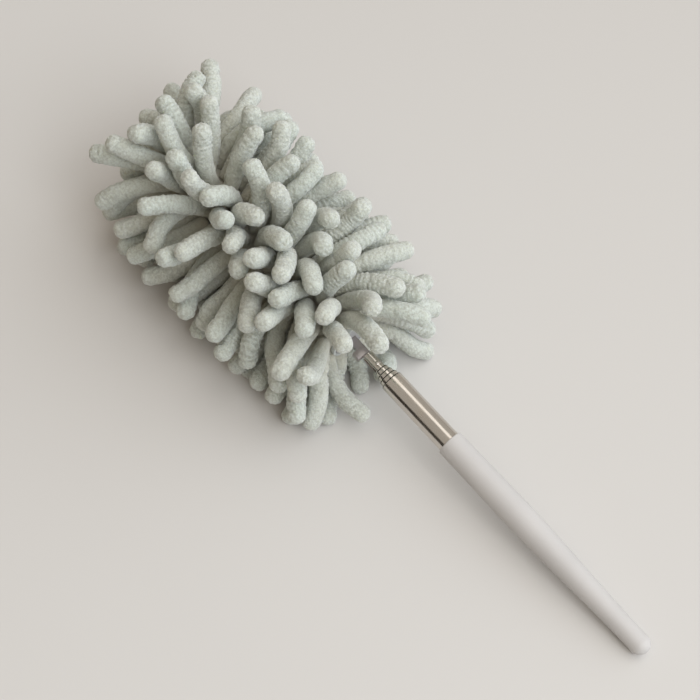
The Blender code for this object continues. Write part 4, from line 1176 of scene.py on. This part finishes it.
def dark_card():
    """A low dark card beside the pole, seen only in its steel: it gives the dark line along the tubes."""
    made = plane("dark_card", CARD_LENGTH, CARD_HEIGHT, CARD_COLOUR, Roughness=0.9)
    made.location = (0.0, CARD_DISTANCE, CARD_HEIGHT / 2)
    made.rotation_euler = (math.pi / 2, 0.0, 0.0)
    made.visible_camera = False
    made.visible_diffuse = False
    made.visible_shadow = False


def dome_part(sky, colour, way, power):
    """Light that falls off with the angle from one direction."""
    facing = sky.add("ShaderNodeVectorMath", operation="DOT_PRODUCT")
    facing.inputs[1].default_value = way
    sky.join(sky.add("ShaderNodeTexCoord").outputs["Generated"], facing.inputs[0])
    front = sky.math("MAXIMUM", facing.outputs["Value"], 0.0)
    part = sky.add("ShaderNodeBackground", Color=(*colour, 1.0))
    sky.join(sky.math("POWER", front, power), part.inputs["Strength"])
    return part.outputs["Background"]


def world():
    """The soft dome round the stage. Metal and the camera each see one plain colour instead."""
    made = bpy.data.worlds.new("studio")
    made.use_nodes = True
    sky = Tree(made.node_tree)
    even = sky.tree.nodes["Background"]
    even.inputs["Color"].default_value = (*DOME_EVEN, 1.0)
    even.inputs["Strength"].default_value = 1.0
    side_way = Matrix.Rotation(-OBJECT_YAW, 3, "Z") @ Vector(DOME_SIDE_WAY)
    total = even.outputs["Background"]
    for part in (
        dome_part(sky, DOME_TOP, DOME_TOP_WAY, DOME_TOP_POWER),
        dome_part(sky, DOME_SIDE, side_way, DOME_SIDE_POWER),
    ):
        both = sky.add("ShaderNodeAddShader")
        sky.join(total, both.inputs[0])
        sky.join(part, both.inputs[1])
        total = both.outputs["Shader"]
    path = sky.add("ShaderNodeLightPath")
    for colour, ray in ((DOME_IN_METAL, "Is Glossy Ray"), (BACKDROP, "Is Camera Ray")):
        plain = sky.add("ShaderNodeBackground", Color=(*colour, 1.0))
        choose = sky.add("ShaderNodeMixShader")
        sky.join(path.outputs[ray], choose.inputs["Fac"])
        sky.join(total, choose.inputs[1])
        sky.join(plain.outputs["Background"], choose.inputs[2])
        total = choose.outputs["Shader"]
    sky.join(total, sky.tree.nodes["World Output"].inputs["Surface"])
    bpy.context.scene.world = made


def area_lamp(name, place, target, size, power, colour):
    data = bpy.data.lights.new(name, "AREA")
    data.energy = power
    data.size = size
    data.color = colour
    lamp = add_object(name, data)
    lamp.location = place
    lamp.rotation_euler = (target - place).to_track_quat("-Z", "Y").to_euler()


def lights():
    middle = on_table(*LIT_POINT)
    area_lamp("key", on_table(*KEY_PLACE), middle, KEY_SIZE, KEY_POWER, KEY_COLOUR)
    area_lamp("front_fill", on_table(*FILL_PLACE), middle, FILL_SIZE, FILL_POWER, FILL_COLOUR)


def camera():
    data = bpy.data.cameras.new("camera")
    data.sensor_width = SENSOR
    data.lens = FOCAL_PIXELS / IMAGE_SIZE * SENSOR
    made = add_object("camera", data)
    aim = on_table(0.0, 0.0)
    away = -CAMERA_DISTANCE * math.cos(CAMERA_ELEVATION)
    made.location = on_table(0.0, away, CAMERA_DISTANCE * math.sin(CAMERA_ELEVATION))
    made.rotation_euler = (aim - made.location).to_track_quat("-Z", "Y").to_euler()
    bpy.context.scene.camera = made


camera()
world()
lights()
floor()
dark_card()
grip()
tubes()
rivet()
for cad_node, piece_name in (
    ("hinge_blade", "blade_forged"), ("core_base", "core_base_moulding"), ("core_tube", "core_moulding"),
    ("sleeve_band", "elastic_band"), ("pole_plug", "plug_moulding"), ("bush_2", "bush_2_spring"),
    ("bush_3", "bush_3_spring"), ("bush_4", "bush_4_spring"), ("bush_5", "bush_5_spring"),
):
    dress(cad_node, piece_name)
sleeve()

scene = bpy.context.scene
scene.view_settings.view_transform = "Standard"
